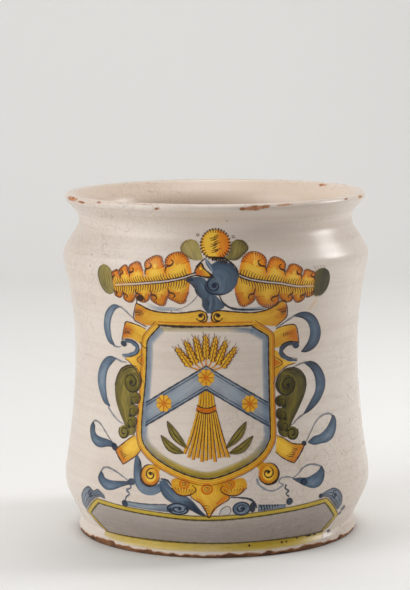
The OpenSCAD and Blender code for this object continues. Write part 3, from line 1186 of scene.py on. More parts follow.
class Canvas:
    """What has been painted so far, as colours over the unrolled wall."""

    STEP = 0.3
    FILL = 0.6
    HALF_WIDTH = 116
    HEIGHT = 212

    def __init__(self) -> None:
        """Start without paint."""
        shape = (round(self.HEIGHT / self.STEP), round(2 * self.HALF_WIDTH / self.STEP))
        self.colour = np.zeros((*shape, 3))
        self.cover = np.zeros(shape)

    def _cells(self, grid: Array) -> tuple[Array, Array]:
        """Find the cells that places fall into.

        Args:
            grid: Places of the drawing.

        Returns:
            Rows and columns of the cells.
        """
        row, column = grid[..., 1] / self.STEP, (grid[..., 0] + self.HALF_WIDTH) / self.STEP
        return tuple(np.clip(at.astype(int), 0, most - 1)
                     for at, most in zip((row, column), self.cover.shape))

    def under(self, grid: Array) -> tuple[Array, Array]:
        """Give colour and cover of the paint at places."""
        cells = self._cells(grid)
        return self.colour[cells], self.cover[cells]

    def add(self, grid: Array, cover: Array, colour: Array) -> None:
        """Lay a stroke over what is there.

        Args:
            grid: Places of the stroke.
            cover: Thickness of its paint.
            colour: Its colour.
        """
        values = np.concatenate([grid, cover[..., None], colour], -1)
        for axis in (0, 1):
            gap = np.linalg.norm(np.diff(grid, axis=axis), axis=2).max()
            steps = values.shape[axis] - 1
            finer = max(2, math.ceil(gap / (self.FILL * self.STEP)))
            places = np.linspace(0, steps, finer * steps + 1)
            first = np.minimum(places.astype(int), steps - 1)
            share = np.expand_dims(places - first, (1 - axis, 2))
            values = np.take(values, first, axis) * (1 - share) + np.take(values, first + 1, axis) * share
        cells = self._cells(values)
        new, old = values[..., 2], self.cover[cells]
        total = new + old * (1 - new)
        mixed = values[..., 3:] * new[..., None] + self.colour[cells] * (old * (1 - new))[..., None]
        self.colour[cells] = mixed / np.maximum(total, TINY)[..., None]
        self.cover[cells] = total


@dataclass(frozen=True)
class Stroke:
    """A brush stroke that waits to be laid: places, thickness and depth of its paint, and its order."""

    grid: Array
    cover: Array
    tone: Array
    pigment: Pigment
    lift: float
    closed: bool
    number: int


@dataclass
class Motif:
    """A painted motif: brush strokes that make one piece in place of one node of the frame."""

    node: str
    slot: str
    order: int = field(default=0, init=False)
    mesh: Mesh = field(default_factory=Mesh, init=False)
    pigments: list[Pigment] = field(default_factory=list, init=False)
    strokes: list[Stroke] = field(default_factory=list, init=False)

    FEATHER = 0.35
    FEATHER_SHARES = (0.01, 0.3)
    ROW_STEP = 1.3
    LINE_STEP = 0.65
    COLUMN_STEP = 1.6
    SUNK = -0.08
    FIRST_LIFT = 0.06
    COAT_LIFT = 0.00025
    LAYER_LIFT = 0.03
    STROKE_LIFT = 0.004
    STROKE_TURN = 7
    STREAK_STEP = 7.3
    SWAY = (0.14, 1.1, 2.4)
    TREMBLE = (0.08, 2.7)
    TICK_REACH = (0.8, 0.2, 12.9)
    TICK_BOW = 0.08
    TICK_WIDTHS = (1, 0.9, 0.35)
    DAB_ARC = (-88, 176)

    def paint(self) -> None:
        """Draw the motif's strokes."""
        raise NotImplementedError

    def build(self, paints: dict[Pigment, Material]) -> None:
        """Make the piece of the strokes that are laid, and dress it."""
        piece = self.mesh.piece("painted_" + self.node, [paints[p] for p in self.pigments])
        dress(piece, self.node)

    def _add(self, grid: Array, cover: Array, tone: Array, pigment: Pigment, layer: int,
             closed: bool) -> None:
        """Add one stroke to those that wait.

        Args:
            grid: Places of the drawing, rows along the stroke and columns across it.
            cover: How thick the paint lies at each place, 0 to 1.
            tone: How deep its colour is at each place, 0 to 1.
            pigment: Colour.
            layer: Order over other strokes.
            closed: Whether the last row meets the first.
        """
        if pigment not in self.pigments:
            self.pigments.append(pigment)
        number = len(self.strokes) + 1
        base = self.FIRST_LIFT + self.COAT_LIFT * self.order
        lift = base + self.LAYER_LIFT * layer + self.STROKE_LIFT * (number % self.STROKE_TURN)
        tone = np.broadcast_to(tone, cover.shape)
        self.strokes.append(Stroke(grid, cover, tone, pigment, lift, closed, number))

    def lay(self, stroke: Stroke, surface: JarSurface, canvas: Canvas) -> None:
        """Lay a stroke as a closed sheet over the paint that is there already.

        Args:
            stroke: The stroke.
            surface: Wall that it lies on.
            canvas: Paint that lies lower.
        """
        grid, cover, tone, closed = stroke.grid, stroke.cover, stroke.tone, stroke.closed
        finish = self.pigments.index(stroke.pigment)
        rows, columns = cover.shape
        along = np.broadcast_to(arc_lengths(grid[:, columns // 2])[:, None], cover.shape)
        steps = np.linalg.norm(np.diff(grid, axis=1), axis=2)
        across = np.concatenate([np.zeros((rows, 1)), np.cumsum(steps, 1)], 1)
        streaks = np.stack([along, across, np.full(cover.shape, self.STREAK_STEP * stroke.number)], -1)
        ground, painted = canvas.under(grid)
        values = {"cover": cover.ravel(), "tone": tone.ravel(), "stroke": streaks.reshape(-1, 3),
                  "ground": ground.reshape(-1, 3), "painted": painted.ravel()}
        shown = [*range(rows), 0] if closed else list(range(rows))
        canvas.add(grid[shown], cover[shown], LOOKS[stroke.pigment].colour(tone)[shown])
        sheets = [surface.place(grid[..., 0], grid[..., 1], lift) for lift in (stroke.lift, self.SUNK)]
        top, bottom = (self.mesh.add_points(sheet.reshape(-1, 3), **values) for sheet in sheets)
        faces = strip_faces(rows, columns, 0, closed)
        turned = self._turned(grid)
        up, down = (faces[:, ::-1], faces) if turned else (faces, faces[:, ::-1])
        self.mesh.add_faces(up + top, True, finish)
        self.mesh.add_faces(down + bottom, False, finish)
        numbers = np.arange(rows * columns).reshape(rows, columns)
        if closed:
            rims = [numbers[:, 0], numbers[::-1, -1]]
        else:
            sides = [numbers[0, ::-1], numbers[1:, 0], numbers[-1, 1:], numbers[-2:0:-1, -1]]
            rims = [np.concatenate(sides)]
        for rim in rims:
            ahead = np.roll(rim, -1)
            side = np.stack([rim + top, ahead + top, ahead + bottom, rim + bottom], 1)
            self.mesh.add_faces(side if turned else side[:, ::-1], False, finish)

    @staticmethod
    def _turned(grid: Array) -> bool:
        """Tell whether the grid's faces look into the wall."""
        a, b = np.diff(grid, axis=1)[:-1], np.diff(grid, axis=0)[:, :-1]
        return float((a[..., 0] * b[..., 1] - a[..., 1] * b[..., 0]).sum()) < 0

    def wash(self, one: Points, other: Points, pigment: Pigment, across: Levels = 0.5, along: Levels = 0,
             cover: Levels = 1, fade: Levels = 1, layer: int = 0, closed: bool = False,
             step: float = COLUMN_STEP) -> None:
        """Fill the area between two curves.

        Args:
            one: First curve.
            other: Second curve, in the same direction.
            pigment: Colour.
            across: Depth of the colour from the first curve to the second.
            along: What is added to it from the start to the end.
            cover: Thickness of the paint from the start to the end.
            fade: Share of it that is left from the first curve to the second.
            layer: Order over other strokes.
            closed: Whether the curves close.
            step: Longest step from the first curve to the second.
        """
        a, b = spline(one, closed), spline(other, closed)
        length = max(arc_lengths(a)[-1], arc_lengths(b)[-1])
        count = max(4, math.ceil(length / self.ROW_STEP))
        t = np.linspace(0, 1, count + 1)[:-1 if closed else None]
        if not closed:
            nib = min(self.FEATHER / length, 0.5 / count)
            t = np.concatenate([[0, nib], t[1:-1], [1 - nib, 1]])
        a, b = at_shares(a, t), at_shares(b, t)
        width = np.maximum(np.linalg.norm(b - a, axis=1), TINY)
        columns = max(2, math.ceil(width.max() / step))
        rim = np.clip(self.FEATHER / width, *self.FEATHER_SHARES)[:, None]
        inner = rim + np.linspace(0, 1, columns + 1)[None, :] * (1 - 2 * rim)
        s = np.hstack([np.zeros((len(t), 1)), inner, np.ones((len(t), 1))])
        grid = a[:, None] + (b - a)[:, None] * s[..., None]
        thick = levels(cover, t)[:, None] * levels(fade, s)
        thick[:, [0, -1]] = 0
        if not closed:
            thick[[0, -1]] = 0
        self._add(grid, thick, levels(along, t)[:, None] + levels(across, s), pigment, layer, closed)

    def line(self, points: Points, width: Levels, pigment: Pigment = BROWN, tone: Levels = 0.75,
             cover: Levels = 1, layer: int = 3, closed: bool = False, soft: float = 0.3) -> None:
        """Draw a brush line along a curve.

        Args:
            points: Points of the curve.
            width: Width along it.
            pigment: Colour.
            tone: Depth of the colour along it.
            cover: Thickness of the paint along it.
            layer: Order over other strokes.
            closed: Whether the curve closes.
            soft: Share of the half width over which the edge fades.
        """
        curve = spline(points, closed)
        length = arc_lengths(curve)[-1]
        count = max(3, math.ceil(length / self.LINE_STEP))
        t = np.linspace(0, 1, count + 1)[:-1 if closed else None]
        centre = at_shares(curve, t)
        (sway, slow, start), (tremble, quick) = self.SWAY, self.TREMBLE
        swing = sway * np.sin(length * t * slow + start * len(self.strokes))
        wobble = 1 + swing + tremble * np.sin(length * t * quick)
        half = (levels(width, t) / 2 * (1 if closed else wobble))[:, None]
        shares = np.array([-1, soft - 1, 1 - soft, 1])
        grid = centre[:, None] + (sideways(centre, closed) * half)[:, None] * shares[None, :, None]
        thick = levels(cover, t)[:, None] * np.array([0, 1, 1, 0])
        self._add(grid, thick, levels(tone, t)[:, None], pigment, layer, closed)

    def dab(self, centre: Point, rx: float, rz: float, pigment: Pigment = BROWN, across: Levels = 0.75,
            along: Levels = 0, cover: float = 1, layer: int = 2, tilt: float = 0) -> None:
        """Set down an oval dab of paint.

        Args:
            centre: Its middle.
            rx: Half its width.
            rz: Half its height.
            pigment: Colour.
            across: Depth of the colour from left to right.
            along: What is added to it from the bottom to the top.
            cover: Thickness of the paint.
            layer: Order over other strokes.
            tilt: Turn to the left, in degrees.
        """
        c, s = math.cos(math.radians(tilt)), math.sin(math.radians(tilt))
        left, right = ([(centre[0] + u * c - z * s, centre[1] + u * s + z * c)
                        for u, z in circle((0, 0), side * rx, rz, *self.DAB_ARC)]
                       for side in (-1, 1))
        self.wash(left, right, pigment, across, along, cover, 1, layer)

    def ring(self, centre: Point, rx: float, rz: float, width: float, pigment: Pigment = BROWN,
             tone: float = 0.75, layer: int = 3) -> None:
        """Draw a closed oval line."""
        self.line(circle(centre, rx, rz)[:-1], width, pigment, tone, 1, layer, True)

    def ticks(self, one: Points, other: Points, count: int, width: float = 0.6, pigment: Pigment = BROWN,
              tone: float = 0.7, layer: int = 3, cover: float = 1) -> None:
        """Draw short strokes from one curve to another.

        Args:
            one: Curve where the strokes start.
            other: Curve where they end, in the same direction.
            count: Number of strokes.
            width: Their width at the start.
            pigment: Colour.
            tone: Depth of the colour.
            layer: Order over other strokes.
            cover: Thickness of the paint.
        """
        shares = (np.arange(count) + 0.5) / count
        starts, ends = at_shares(spline(one), shares), at_shares(spline(other), shares)
        least, spread, turn = self.TICK_REACH
        for i, (a, b) in enumerate(zip(starts, ends)):
            run = (b - a) * (least + spread * math.sin(turn * (i + len(self.strokes))))
            bow = self.TICK_BOW * np.array([-run[1], run[0]])
            widths = [width * share for share in self.TICK_WIDTHS]
            self.line([a, a + run / 2 + bow, a + run], widths, pigment, tone, cover, layer)


@dataclass(frozen=True)
class Lobe:
    """One lobe of a plume: where it leaves the rib, near and far from the helmet, and its tip."""

    near: float
    far: float
    tip: Point


@dataclass
class Plume(Motif):
    """A plume of feathered lobes over and under a pale rib."""

    rib: Points
    upper: Sequence[Lobe]
    lower: Sequence[Lobe]
    bare: int

    def _rib_z(self, u: float) -> float:
        """Give the rib's height at an arc."""
        rows = sorted(self.rib)
        return float(np.interp(u, [p[0] for p in rows], [p[1] for p in rows]))

    def _beside(self, at: float, out: float, up: float, tip_z: float) -> Point:
        """Give a point out from a place on the rib, at a share of the way up to a lobe's tip."""
        low = self._rib_z(at)
        return (at + out, low + up * (tip_z - low))

    def _lobe(self, lobe: Lobe, pigment: Pigment, depth: float) -> None:
        """Paint one lobe, which leans away from the helmet.

        Args:
            lobe: Its place.
            pigment: Its colour.
            depth: What is added to the depth of its colour.
        """
        u, z = lobe.tip
        half = (lobe.far - lobe.near) / 2
        rise = z - self._rib_z(u)
        tip = (u + 0.12 * half, z)
        far = [self._beside(lobe.far, out * half, up, z)
               for out, up in ((0.12, 0), (0.14, 0.3), (0.04, 0.52), (0.12, 0.74))]
        near = [self._beside(lobe.near, out * half, up, z)
                for out, up in ((-0.1, 0), (-0.04, 0.3), (0.1, 0.58), (0.38, 0.82))]
        far += [(u + 0.72 * half, z - 0.1 * rise), tip]
        near += [(u - 0.4 * half, z - 0.04 * rise), tip]
        across = [tone + depth for tone in (0.85, 0.35, 0.05, 0.35, 0.95)]
        self.wash(far, near, pigment, across, (-0.2, -0.25, 0, 0.3, 0.5))
        head = far[2:] + near[-2:1:-1]
        heart = (u, z - 0.5 * rise)
        strokes, edge = (
            [(p + share * (heart[0] - p), q + share * (heart[1] - q)) for p, q in head]
            for share in (0.95, 0.3))
        self.ticks(head, strokes, 9, 1.5, pigment, 1.05, 1, 0.6)
        self.ticks(head, edge, 15, 0.6, tone=0.55)
        self.line(head, (0.4, 0.75, 0.5, 0.7, 0.6, 0.35), tone=(0.8, 0.45, 0.35, 0.6), cover=0.85)
        notch = ((0.1, 0.3), (-0.02, 0.5), (-0.42, 0.56), (-0.55, 0.68), (-0.3, 0.74))
        curl = [self._beside(lobe.far, out * half, up, z) for out, up in notch]
        self.line(curl, (0.4, 1.1, 1.3, 1.1, 0.4), tone=0.7, layer=4)

    def paint(self) -> None:
        """Draw the lobes, then the rib with its ticks."""
        for lobes, pigment, depth in ((self.upper, ORANGE, 0), (self.lower, YELLOW, 0.2)):
            for lobe in lobes:
                self._lobe(lobe, pigment, depth)
        lean = math.copysign(1.6, self.rib[-1][0])
        for side, reach in ((1, 5), (-1, 7)):
            start = [(u, z + 0.9 * side) for u, z in self.rib[self.bare:]]
            end = [(u + lean, z + reach * side) for u, z in self.rib[self.bare:]]
            self.wash(start, end, YELLOW, (0.35, 0.25, 0.4), 0, (0.8, 0.8, 0.8, 0.5), (1, 0.8, 0), 1)
            self.ticks(start, end, 30, 0.7, tone=0.55)
        above, under = ([(u, z + 0.8 * side) for u, z in self.rib] for side in (1, -1))
        self.wash(above, under, PALE_AND_SHADE, (0.3, 0, 0.5), 0, (1, 1, 0.9, 0.3), layer=4)
        for edge in (above, under):
            self.line(edge, (1, 0.8, 0.6, 0.4), tone=0.95, cover=(1, 0.95, 0.85, 0.5), layer=5)


@dataclass
class PlumeTips(Motif):
    """Olive ovals at the ends of the plumes."""

    left: Point = (-72.6, 171.6)
    right: Point = (68.6, 169.2)

    def paint(self) -> None:
        """Draw both ovals with their brush streaks."""
        self.dab(self.left, 7.6, 9.6, OLIVE, (0.6, 0.3, 0.2, 0.35), (0.2, 0, 0.05), 0.95, -1, 8)
        self.dab(self.right, 8.4, 9.2, OLIVE, (0.6, 0.75, 0.9, 0.85), (0, 0.05, 0.1), 1, -1, -12)
        self.wash([(75, 163), (72, 158), (68, 152), (65, 147)],
                  [(65, 163), (61, 158), (58, 153), (57, 148)], YELLOW, 0.5, 0,
                  (0, 0.25, 0.4, 0.3, 0.15, 0), (0, 0.1, 0.4, 1, 0.4, 0.1, 0), -1)
        for du, top in ((-3.4, 6), (-1.4, 7.4), (0.6, 7.6), (2.6, 6.2)):
            u, z = self.left
            self.line([(u + du * 0.8, z - top + 2), (u + du, z), (u + du * 0.9, z + top - 1)],
                      (0.5, 1.1, 0.6), OLIVE, 0.62, 0.55, 1)
        for du in (-4.6, -2.6, 0.4, 3):
            u, z = self.right
            self.line([(u + du, z + 7.2), (u + du - 0.8, z + 9.6), (u + du - 2.6, z + 10.8)],
                      (0.7, 0.5, 0.3), OLIVE, 0.85, 0.5, 1)


@dataclass
class CrestFruit(Motif):
    """A round yellow and orange fruit over the helmet."""

    centre: Point = (0, 195.3)
    rx: float = 9.4
    rz: float = 8.8

    def paint(self) -> None:
        """Draw the fruit, its hatching and the ticks round its edge."""
        u, z = self.centre
        self.dab(self.centre, self.rx, self.rz, ORANGE, (0.3, 0, -0.1, 0.05, 0.6, 0.75, 0.9), (0.15, 0, 0))
        for i in range(9):
            height = z - 4.6 + 1.15 * i
            reach = 2.2 + 0.9 * math.sin(2.1 * i)
            middle = u - 0.4 + 0.8 * math.sin(1.7 * i)
            self.line([(middle - reach, height - 0.3), (middle, height), (middle + reach, height + 0.9)],
                      (0.35, 0.9, 0.4), tone=0.6)
        self.ticks(circle(self.centre, self.rx + 0.7, self.rz + 0.7),
                   circle(self.centre, self.rx - 2.4, self.rz - 2.3), 30, 0.95, tone=0.7)
        self.line(circle(self.centre, self.rx - 0.1, self.rz - 0.1, 30, 330), (0.3, 0.7, 0.4, 0.8, 0.4),
                  tone=0.6, cover=0.8)
        for spot in ((-11.6, 200.5), (11.5, 199.2)):
            self.ring(spot, 0.9, 0.7, 0.5, tone=0.4)


@dataclass
class CrestLeaves(Motif):
    """A pale leaf on the left of the fruit and a dark one on its right."""

    left: Points = ((-7.5, 187.6), (-9.5, 193), (-11.5, 196.6), (-15.5, 198))
    left_edge: Points = ((-8, 186), (-14, 186), (-20.5, 189.5), (-22.4, 193.5), (-20, 197), (-15.5, 198))
    right: Points = ((5.5, 187.5), (8.6, 191), (9.8, 195.6), (13.5, 197.8))
    right_edge: Points = ((7, 186), (12.5, 185.6), (17, 188.5), (20.8, 192.5), (18.5, 196.8), (13.5, 197.8))

    def paint(self) -> None:
        """Draw both leaves and their scalloped edges."""
        self.wash(self.left, self.left_edge, OLIVE, (0.2, 0.05, 0.12, 0.3), 0, 0.88)
        self.wash(self.right, self.right_edge, OLIVE, (0.6, 0.3, 0.5, 0.7), (0.1, -0.05, 0.1), 0.95)
        for edge, tone in ((self.left_edge[1:], 0.35), (self.right_edge[1:], 0.75)):
            outer = inset(edge, 0.9 if edge[0][0] > 0 else -0.9, 1)
            self.line(outer, (0.3, 0.5, 0.4, 0.25), tone=tone, cover=0.7)
            self.ticks(edge, outer, 8, 0.5, tone=tone, cover=0.6)


@dataclass
class Helmet(Motif):
    """A blue helmet in profile with a gold visor."""

    dome: Points = ((-2.6, 183.8), (1.4, 185.7), (6.4, 185.3), (10.6, 182.6), (13.2, 177.6), (12.6, 171.6),
                    (9.2, 167.2), (4.5, 165.1))
    dome_back: Points = (
        (-2.4, 181), (-2, 178), (-4, 175.6), (-5.6, 173), (-5, 169.5), (-3, 166.5), (0, 165.2), (4, 165))
    face: Points = ((-18.8, 174.4), (-14, 172), (-12.3, 170), (-11.5, 167), (-10.2, 164.4), (-8.6, 161.6),
                    (-8.4, 157.6), (-5.2, 153.2))
    face_top: Points = (
        (-18.4, 175), (-12, 176.2), (-7, 175.6), (-4.4, 172), (-2.2, 167), (2.4, 162), (5.4, 157.2),
        (-2.6, 153.2))
    visor: Points = ((-12.8, 177.6), (-11.5, 181), (-8.5, 184.2), (-7, 181.5), (-4, 178.6), (-1.8, 177))
    visor_low: Points = ((-12.4, 177.2), (-10, 176.8), (-8, 176.4), (-6, 176), (-4, 175.8), (-2, 176.6))
    crest: Points = ((-5, 188), (-2, 187.6), (5, 186.9), (9.6, 183.9), (12.4, 180.4), (13.5, 176))
    curl: Point = (-0.9, 170.8)
    wash_left: Points = ((-44, 159), (-36, 156.8), (-27, 157), (-20, 156.2))
    wash_right: Points = ((9, 157), (18, 156.6), (28, 157.2), (36, 158.8))

    def _dark_lines(self) -> None:
        """Draw the lines over the washes."""
        self.line((*self.visor, *self.visor_low[::-1]), (0.8, 1.3, 0.9, 1.4, 0.8), tone=0.95, layer=4)
        self.wash([(-4.6, 180), (-2.4, 178), (0.4, 174.4)], [(-2.6, 175), (-1, 175.4), (0.2, 173.6)], BROWN,
                  1, layer=4)
        self.line([(-11.8, 182), (-9, 184.8), (-6.2, 187.2)], (0.5, 0.9, 0.6), tone=0.95, layer=4)
        self.line(self.crest, (0.8, 1.3, 1.5, 1.2, 1, 0.6), tone=1, layer=4)
        self.ticks([(-2.4, 187.2), (2, 187), (7, 185.8)], [(-2.2, 184.4), (2, 184.2), (6.6, 183.6)], 8, 1.2,
                   tone=1, layer=4)
        self.line(spiral(self.curl, 4.6, 1.8, 110, 330), (0.5, 1.2, 1, 1.2, 0.8), BLUE, 1, layer=4)
        self.dab(self.curl, 1.9, 1.7, BLUE, 1.05, layer=5)
        self.line([(-5.6, 173.4), (-5.9, 169), (-3.6, 166.2), (0, 165.2), (5, 165.3), (9.4, 167.4)],
                  (0.7, 1.5, 1.7, 1.5, 0.9, 0.4), BLUE, 0.95, layer=4)
        self.line([(-18.8, 174.6), (-14.4, 171.8), (-12.6, 169.6), (-11.4, 166), (-9.2, 163)],
                  (0.5, 1, 1.5, 1.1, 0.5), BLUE, 1, layer=4)
        self.dab((-15.4, 174.2), 2.8, 1.2, BLUE, 0.95, layer=4, tilt=8)
        self.line([(2, 165), (3.4, 161.4), (6.4, 158), (12, 155.8), (22, 155.1), (30, 155.2)],
                  (0.6, 1.4, 1.7, 1.4, 1, 0.4), BLUE, 1)
        self.line([(-10.6, 165.4), (-13, 162), (-18, 157.8), (-25, 155)], (0.7, 0.6, 0.5, 0.3), BLUE, 0.7,
                  0.8)
        self.line([(-6.4, 162), (-4.8, 161), (-4.6, 157.6)], (0.4, 0.8, 0.4), BLUE, 0.9)

    def paint(self) -> None:
        """Draw face, dome, visor and dark lines."""
        self.wash(self.face, self.face_top, BLUE, (0.85, 0.65, 0.55, 0.7), (0.1, 0, 0, 0.05))
        self.wash(self.dome, self.dome_back, BLUE, (0.75, 0.5, 0.4, 0.65), (0.15, 0, 0, 0.05), layer=1)
        for du, tone in ((-3.4, 0.85), (-1.2, 0.3), (0.8, 0.8), (2.6, 0.5)):
            self.line([(du * 0.8 - 2.2, 164), (du - 2, 159.6), (du * 0.8 - 3, 155.4)], (0.6, 1.6, 1.2),
                      BLUE, tone, 0.6, 2)
        self.wash(self.visor, self.visor_low, YELLOW, (0.6, 0.9), (0.3, 0.2, -0.3, -0.1), layer=2)
        self.dab((-8.8, 181.2), 1.1, 0.9, YELLOW, 0, layer=4)
        self.wash([(-6.4, 187.2), (-6, 184), (-3.6, 180.5), (-2, 178.6)],
                  [(-5.8, 187.4), (-3.4, 185), (-1.6, 182), (-1.2, 179)], BLUE, (0.9, 0, 0.8), layer=3)
        self._dark_lines()
        for run in (self.wash_left, self.wash_right):
            self.wash(run, [(u + 0.4, z - 2.6) for u, z in run], BLUE, (-0.1, 0.3), 0, (0.2, 0.8, 0.7, 0.2))


@dataclass
class CartoucheFrame(Motif):
    """The yellow frame of the shield with its scrolled top bar, and the shading inside it."""

    sides: Points = (
        (22.4, 144.9), (27, 142), (32.2, 138.7), (33.5, 136.6), (33.8, 128), (34, 100), (33.8, 78),
        (32.5, 73), (28, 66.5), (20, 60.5), (8, 55), (-3, 51.8), (-12, 52.2), (-24, 55.8), (-36, 61.5),
        (-44.5, 67.8), (-48.2, 73), (-49.3, 80), (-48.6, 95), (-46.9, 112), (-45.8, 131.5), (-44.8, 135.4),
        (-43.4, 137.4), (-39.4, 141.4), (-36, 144.7))
    left_top: Points = (
        (-51.4, 158.2), (-47.5, 156.8), (-43, 154.8), (-36, 153.5), (-24, 153.2), (-14, 154.4), (-9.5, 155),
        (-5.5, 153.3))
    left_low: Points = (
        (-54, 147.6), (-49.5, 145.8), (-45.5, 144.4), (-38, 144.8), (-24, 144.9), (-14, 145), (-9, 145.2),
        (-5, 147))
    right_top: Points = (
        (43.5, 160), (39.5, 159), (35, 156), (30, 154.2), (22, 153.2), (10, 154.2), (1.4, 155),
        (-3.2, 153.3))
    right_low: Points = (
        (45.4, 149), (41, 145.8), (38.5, 144), (30, 144.6), (22, 145), (10, 145.1), (1.4, 145.2),
        (-3.8, 147))
    curls: Sequence[Point] = ((-9.2, 151.4), (0.9, 151.4))

    def _shading(self) -> None:
        """Shade the white field along the frame."""
        edge, end = inset(self.sides, -0.3), inset(self.sides, -4.8)
        self.wash(edge, end, BLUE, (0.4, 0.25, 0.05), 0,
                  (0.95, 0.9, 0.85, 0.9, 0.7, 0.6, 0.8, 0.95, 0.9, 0.85), (1, 1, 1, 0.85, 0.3))
        lower = self.sides[6:18]
        self.wash(inset(lower, -0.4), inset(lower, -4.6), BORDER, (0.85, 0.7, 0.6, 0.45), 0,
                  (0, 0.5, 0.95, 1, 1, 1, 0.95, 0.6, 0), (1, 1, 0.9, 0.5), 1)
        self.wash([(-36, 144.2), (-10, 144.4), (22, 144.4)], [(-34, 141), (-10, 141.6), (20, 141.4)], OLIVE,
                  (0.4, 0.2, 0), 0, (0.8, 0.6, 0.6), (1, 0.9, 0.3), 1)
        self.wash([(8, 144.2), (16, 144.2), (24, 143)], [(9, 141), (16, 140.6), (23, 139.6)], BLUE, 0.3, 0,
                  (0.2, 0.9, 0.9), (1, 0.9, 0.4), 2)

    def _bar(self) -> None:
        """Paint the two halves of the bar with their curls."""
        for top, low in ((self.left_top, self.left_low), (self.right_top, self.right_low)):
            self.wash(top, low, YELLOW, (0.45, 0.25, 0.3, 0.6), (0.2, 0.15, 0, 0, 0, 0.05), layer=1)
            self.line(top, (0.8, 1.3, 1.1, 0.9, 1, 1.2, 0.8), tone=0.9)
        self.line([(-51.4, 158.2), (-53.6, 152.6), (-54, 147.6), (-49.5, 145.4), (-45.2, 143.6)],
                  (0.6, 1, 0.9, 0.7), tone=0.75)
        self.line([(43.5, 160), (45.4, 155), (45.8, 151), (44.5, 148.4), (41, 145.8), (38.2, 143.4)],
                  (0.7, 1.1, 0.9, 0.7), tone=0.8)
        self.wash([(-9.4, 148.2), (-4, 147.8), (2, 148.2)], [(-9.4, 145), (-4, 145), (2, 145)], YELLOW,
                  (0.45, 0.6), layer=1)
        self.line([(-37, 147.2), (-24, 147.2), (0, 147.5), (23, 147.4)], (0.8, 1.1, 0.9), YELLOW, 1, 0.9, 2)
        self.line([(-37, 145.2), (-30, 145), (-25, 144.8), (-10, 144.9), (22.6, 145.1)],
                  (1.4, 2, 1.1, 1, 1.3), tone=0.95, layer=4)
        for sign, curl in zip((-1, 1), self.curls):
            end = curl[0] - 3.8 * sign
            self.line([(curl[0] + 1.4 * sign, 148.2), (end + 1.6 * sign, 148), (end, 150.6),
                       (end + 0.9 * sign, 153.8)],
                      (0.5, 1, 1.1, 0.7), tone=0.9)
            self.line(spiral(curl, 3.3, 1.2, 90 - 110 * sign, -300 * sign), (0.6, 1.1, 1.1, 0.9), tone=0.9)
            self.dab((curl[0] + 0.4 * sign, curl[1] + 0.5), 1.7, 1.3, across=0.95, layer=4)
        self.ticks([(-52.6, 156.5), (-53, 152), (-52.6, 148.6)], [(-45, 154), (-44.5, 151.5), (-46, 148)],
                   7, 0.9, YELLOW, 1, cover=0.7)
        self.ticks([(44.6, 158), (45.2, 153), (44.4, 149.4)], [(34.5, 154.8), (35.4, 152.2), (37.5, 148.6)],
                   7, 1, YELLOW, 1, cover=0.7)
        self.ticks([(-52.8, 154.4), (-53, 150)], [(-46, 153.4), (-46.6, 150)], 5, 0.8, tone=0.55)
        self.ticks([(44.8, 156.4), (45.2, 151)], [(37.6, 154.8), (38.4, 151)], 7, 0.8, tone=0.5)

    def paint(self) -> None:
        """Draw shading, band and bar."""
        self._shading()
        outer, rim, thin = (inset(self.sides, d) for d in (3.9, 2.7, 1.3))
        self.wash(self.sides, outer, YELLOW, (0.3, 0.08, 0.15, 0.45, 0.75), (0.2, 0.15, 0, 0, -0.1))
        self.line(rim, (0.8, 1, 0.8, 1, 0.8), YELLOW, 0.95, 0.6, 2)
        self.line(thin, 0.45, tone=0.3, cover=0.55)
        self.line(outer, 0.6, tone=0.45, cover=0.8)
        self.line(self.sides, (1.1, 1.3, 1, 1.2, 1, 1.2, 1.1), tone=0.9)
        self._bar()
        self.dab((-48, 161.3), 2.6, 1.8, across=0.8, layer=4, tilt=15)
        self.line([(-51, 158.2), (-50, 161.8), (-47, 163.2), (-44.8, 160.4)], (0.7, 1.5, 1.5, 0.5),
                  tone=0.85, layer=4)


@dataclass(frozen=True)
class Strap:
    """An upper strap: its band, the part under its hook, and the lines and hatching on both."""

    top: Points
    low: Points
    across: Levels
    along: Levels
    edge: Points
    hatch: tuple[Points, Points]
    hatch_width: float
    ticks: tuple[Points, Points]
    tick_tone: float
    under: Points
    tip: Points
    tip_edge: Points
    notch: Points
    notch_fill: tuple[Points, Points]
    kink: Points = ()


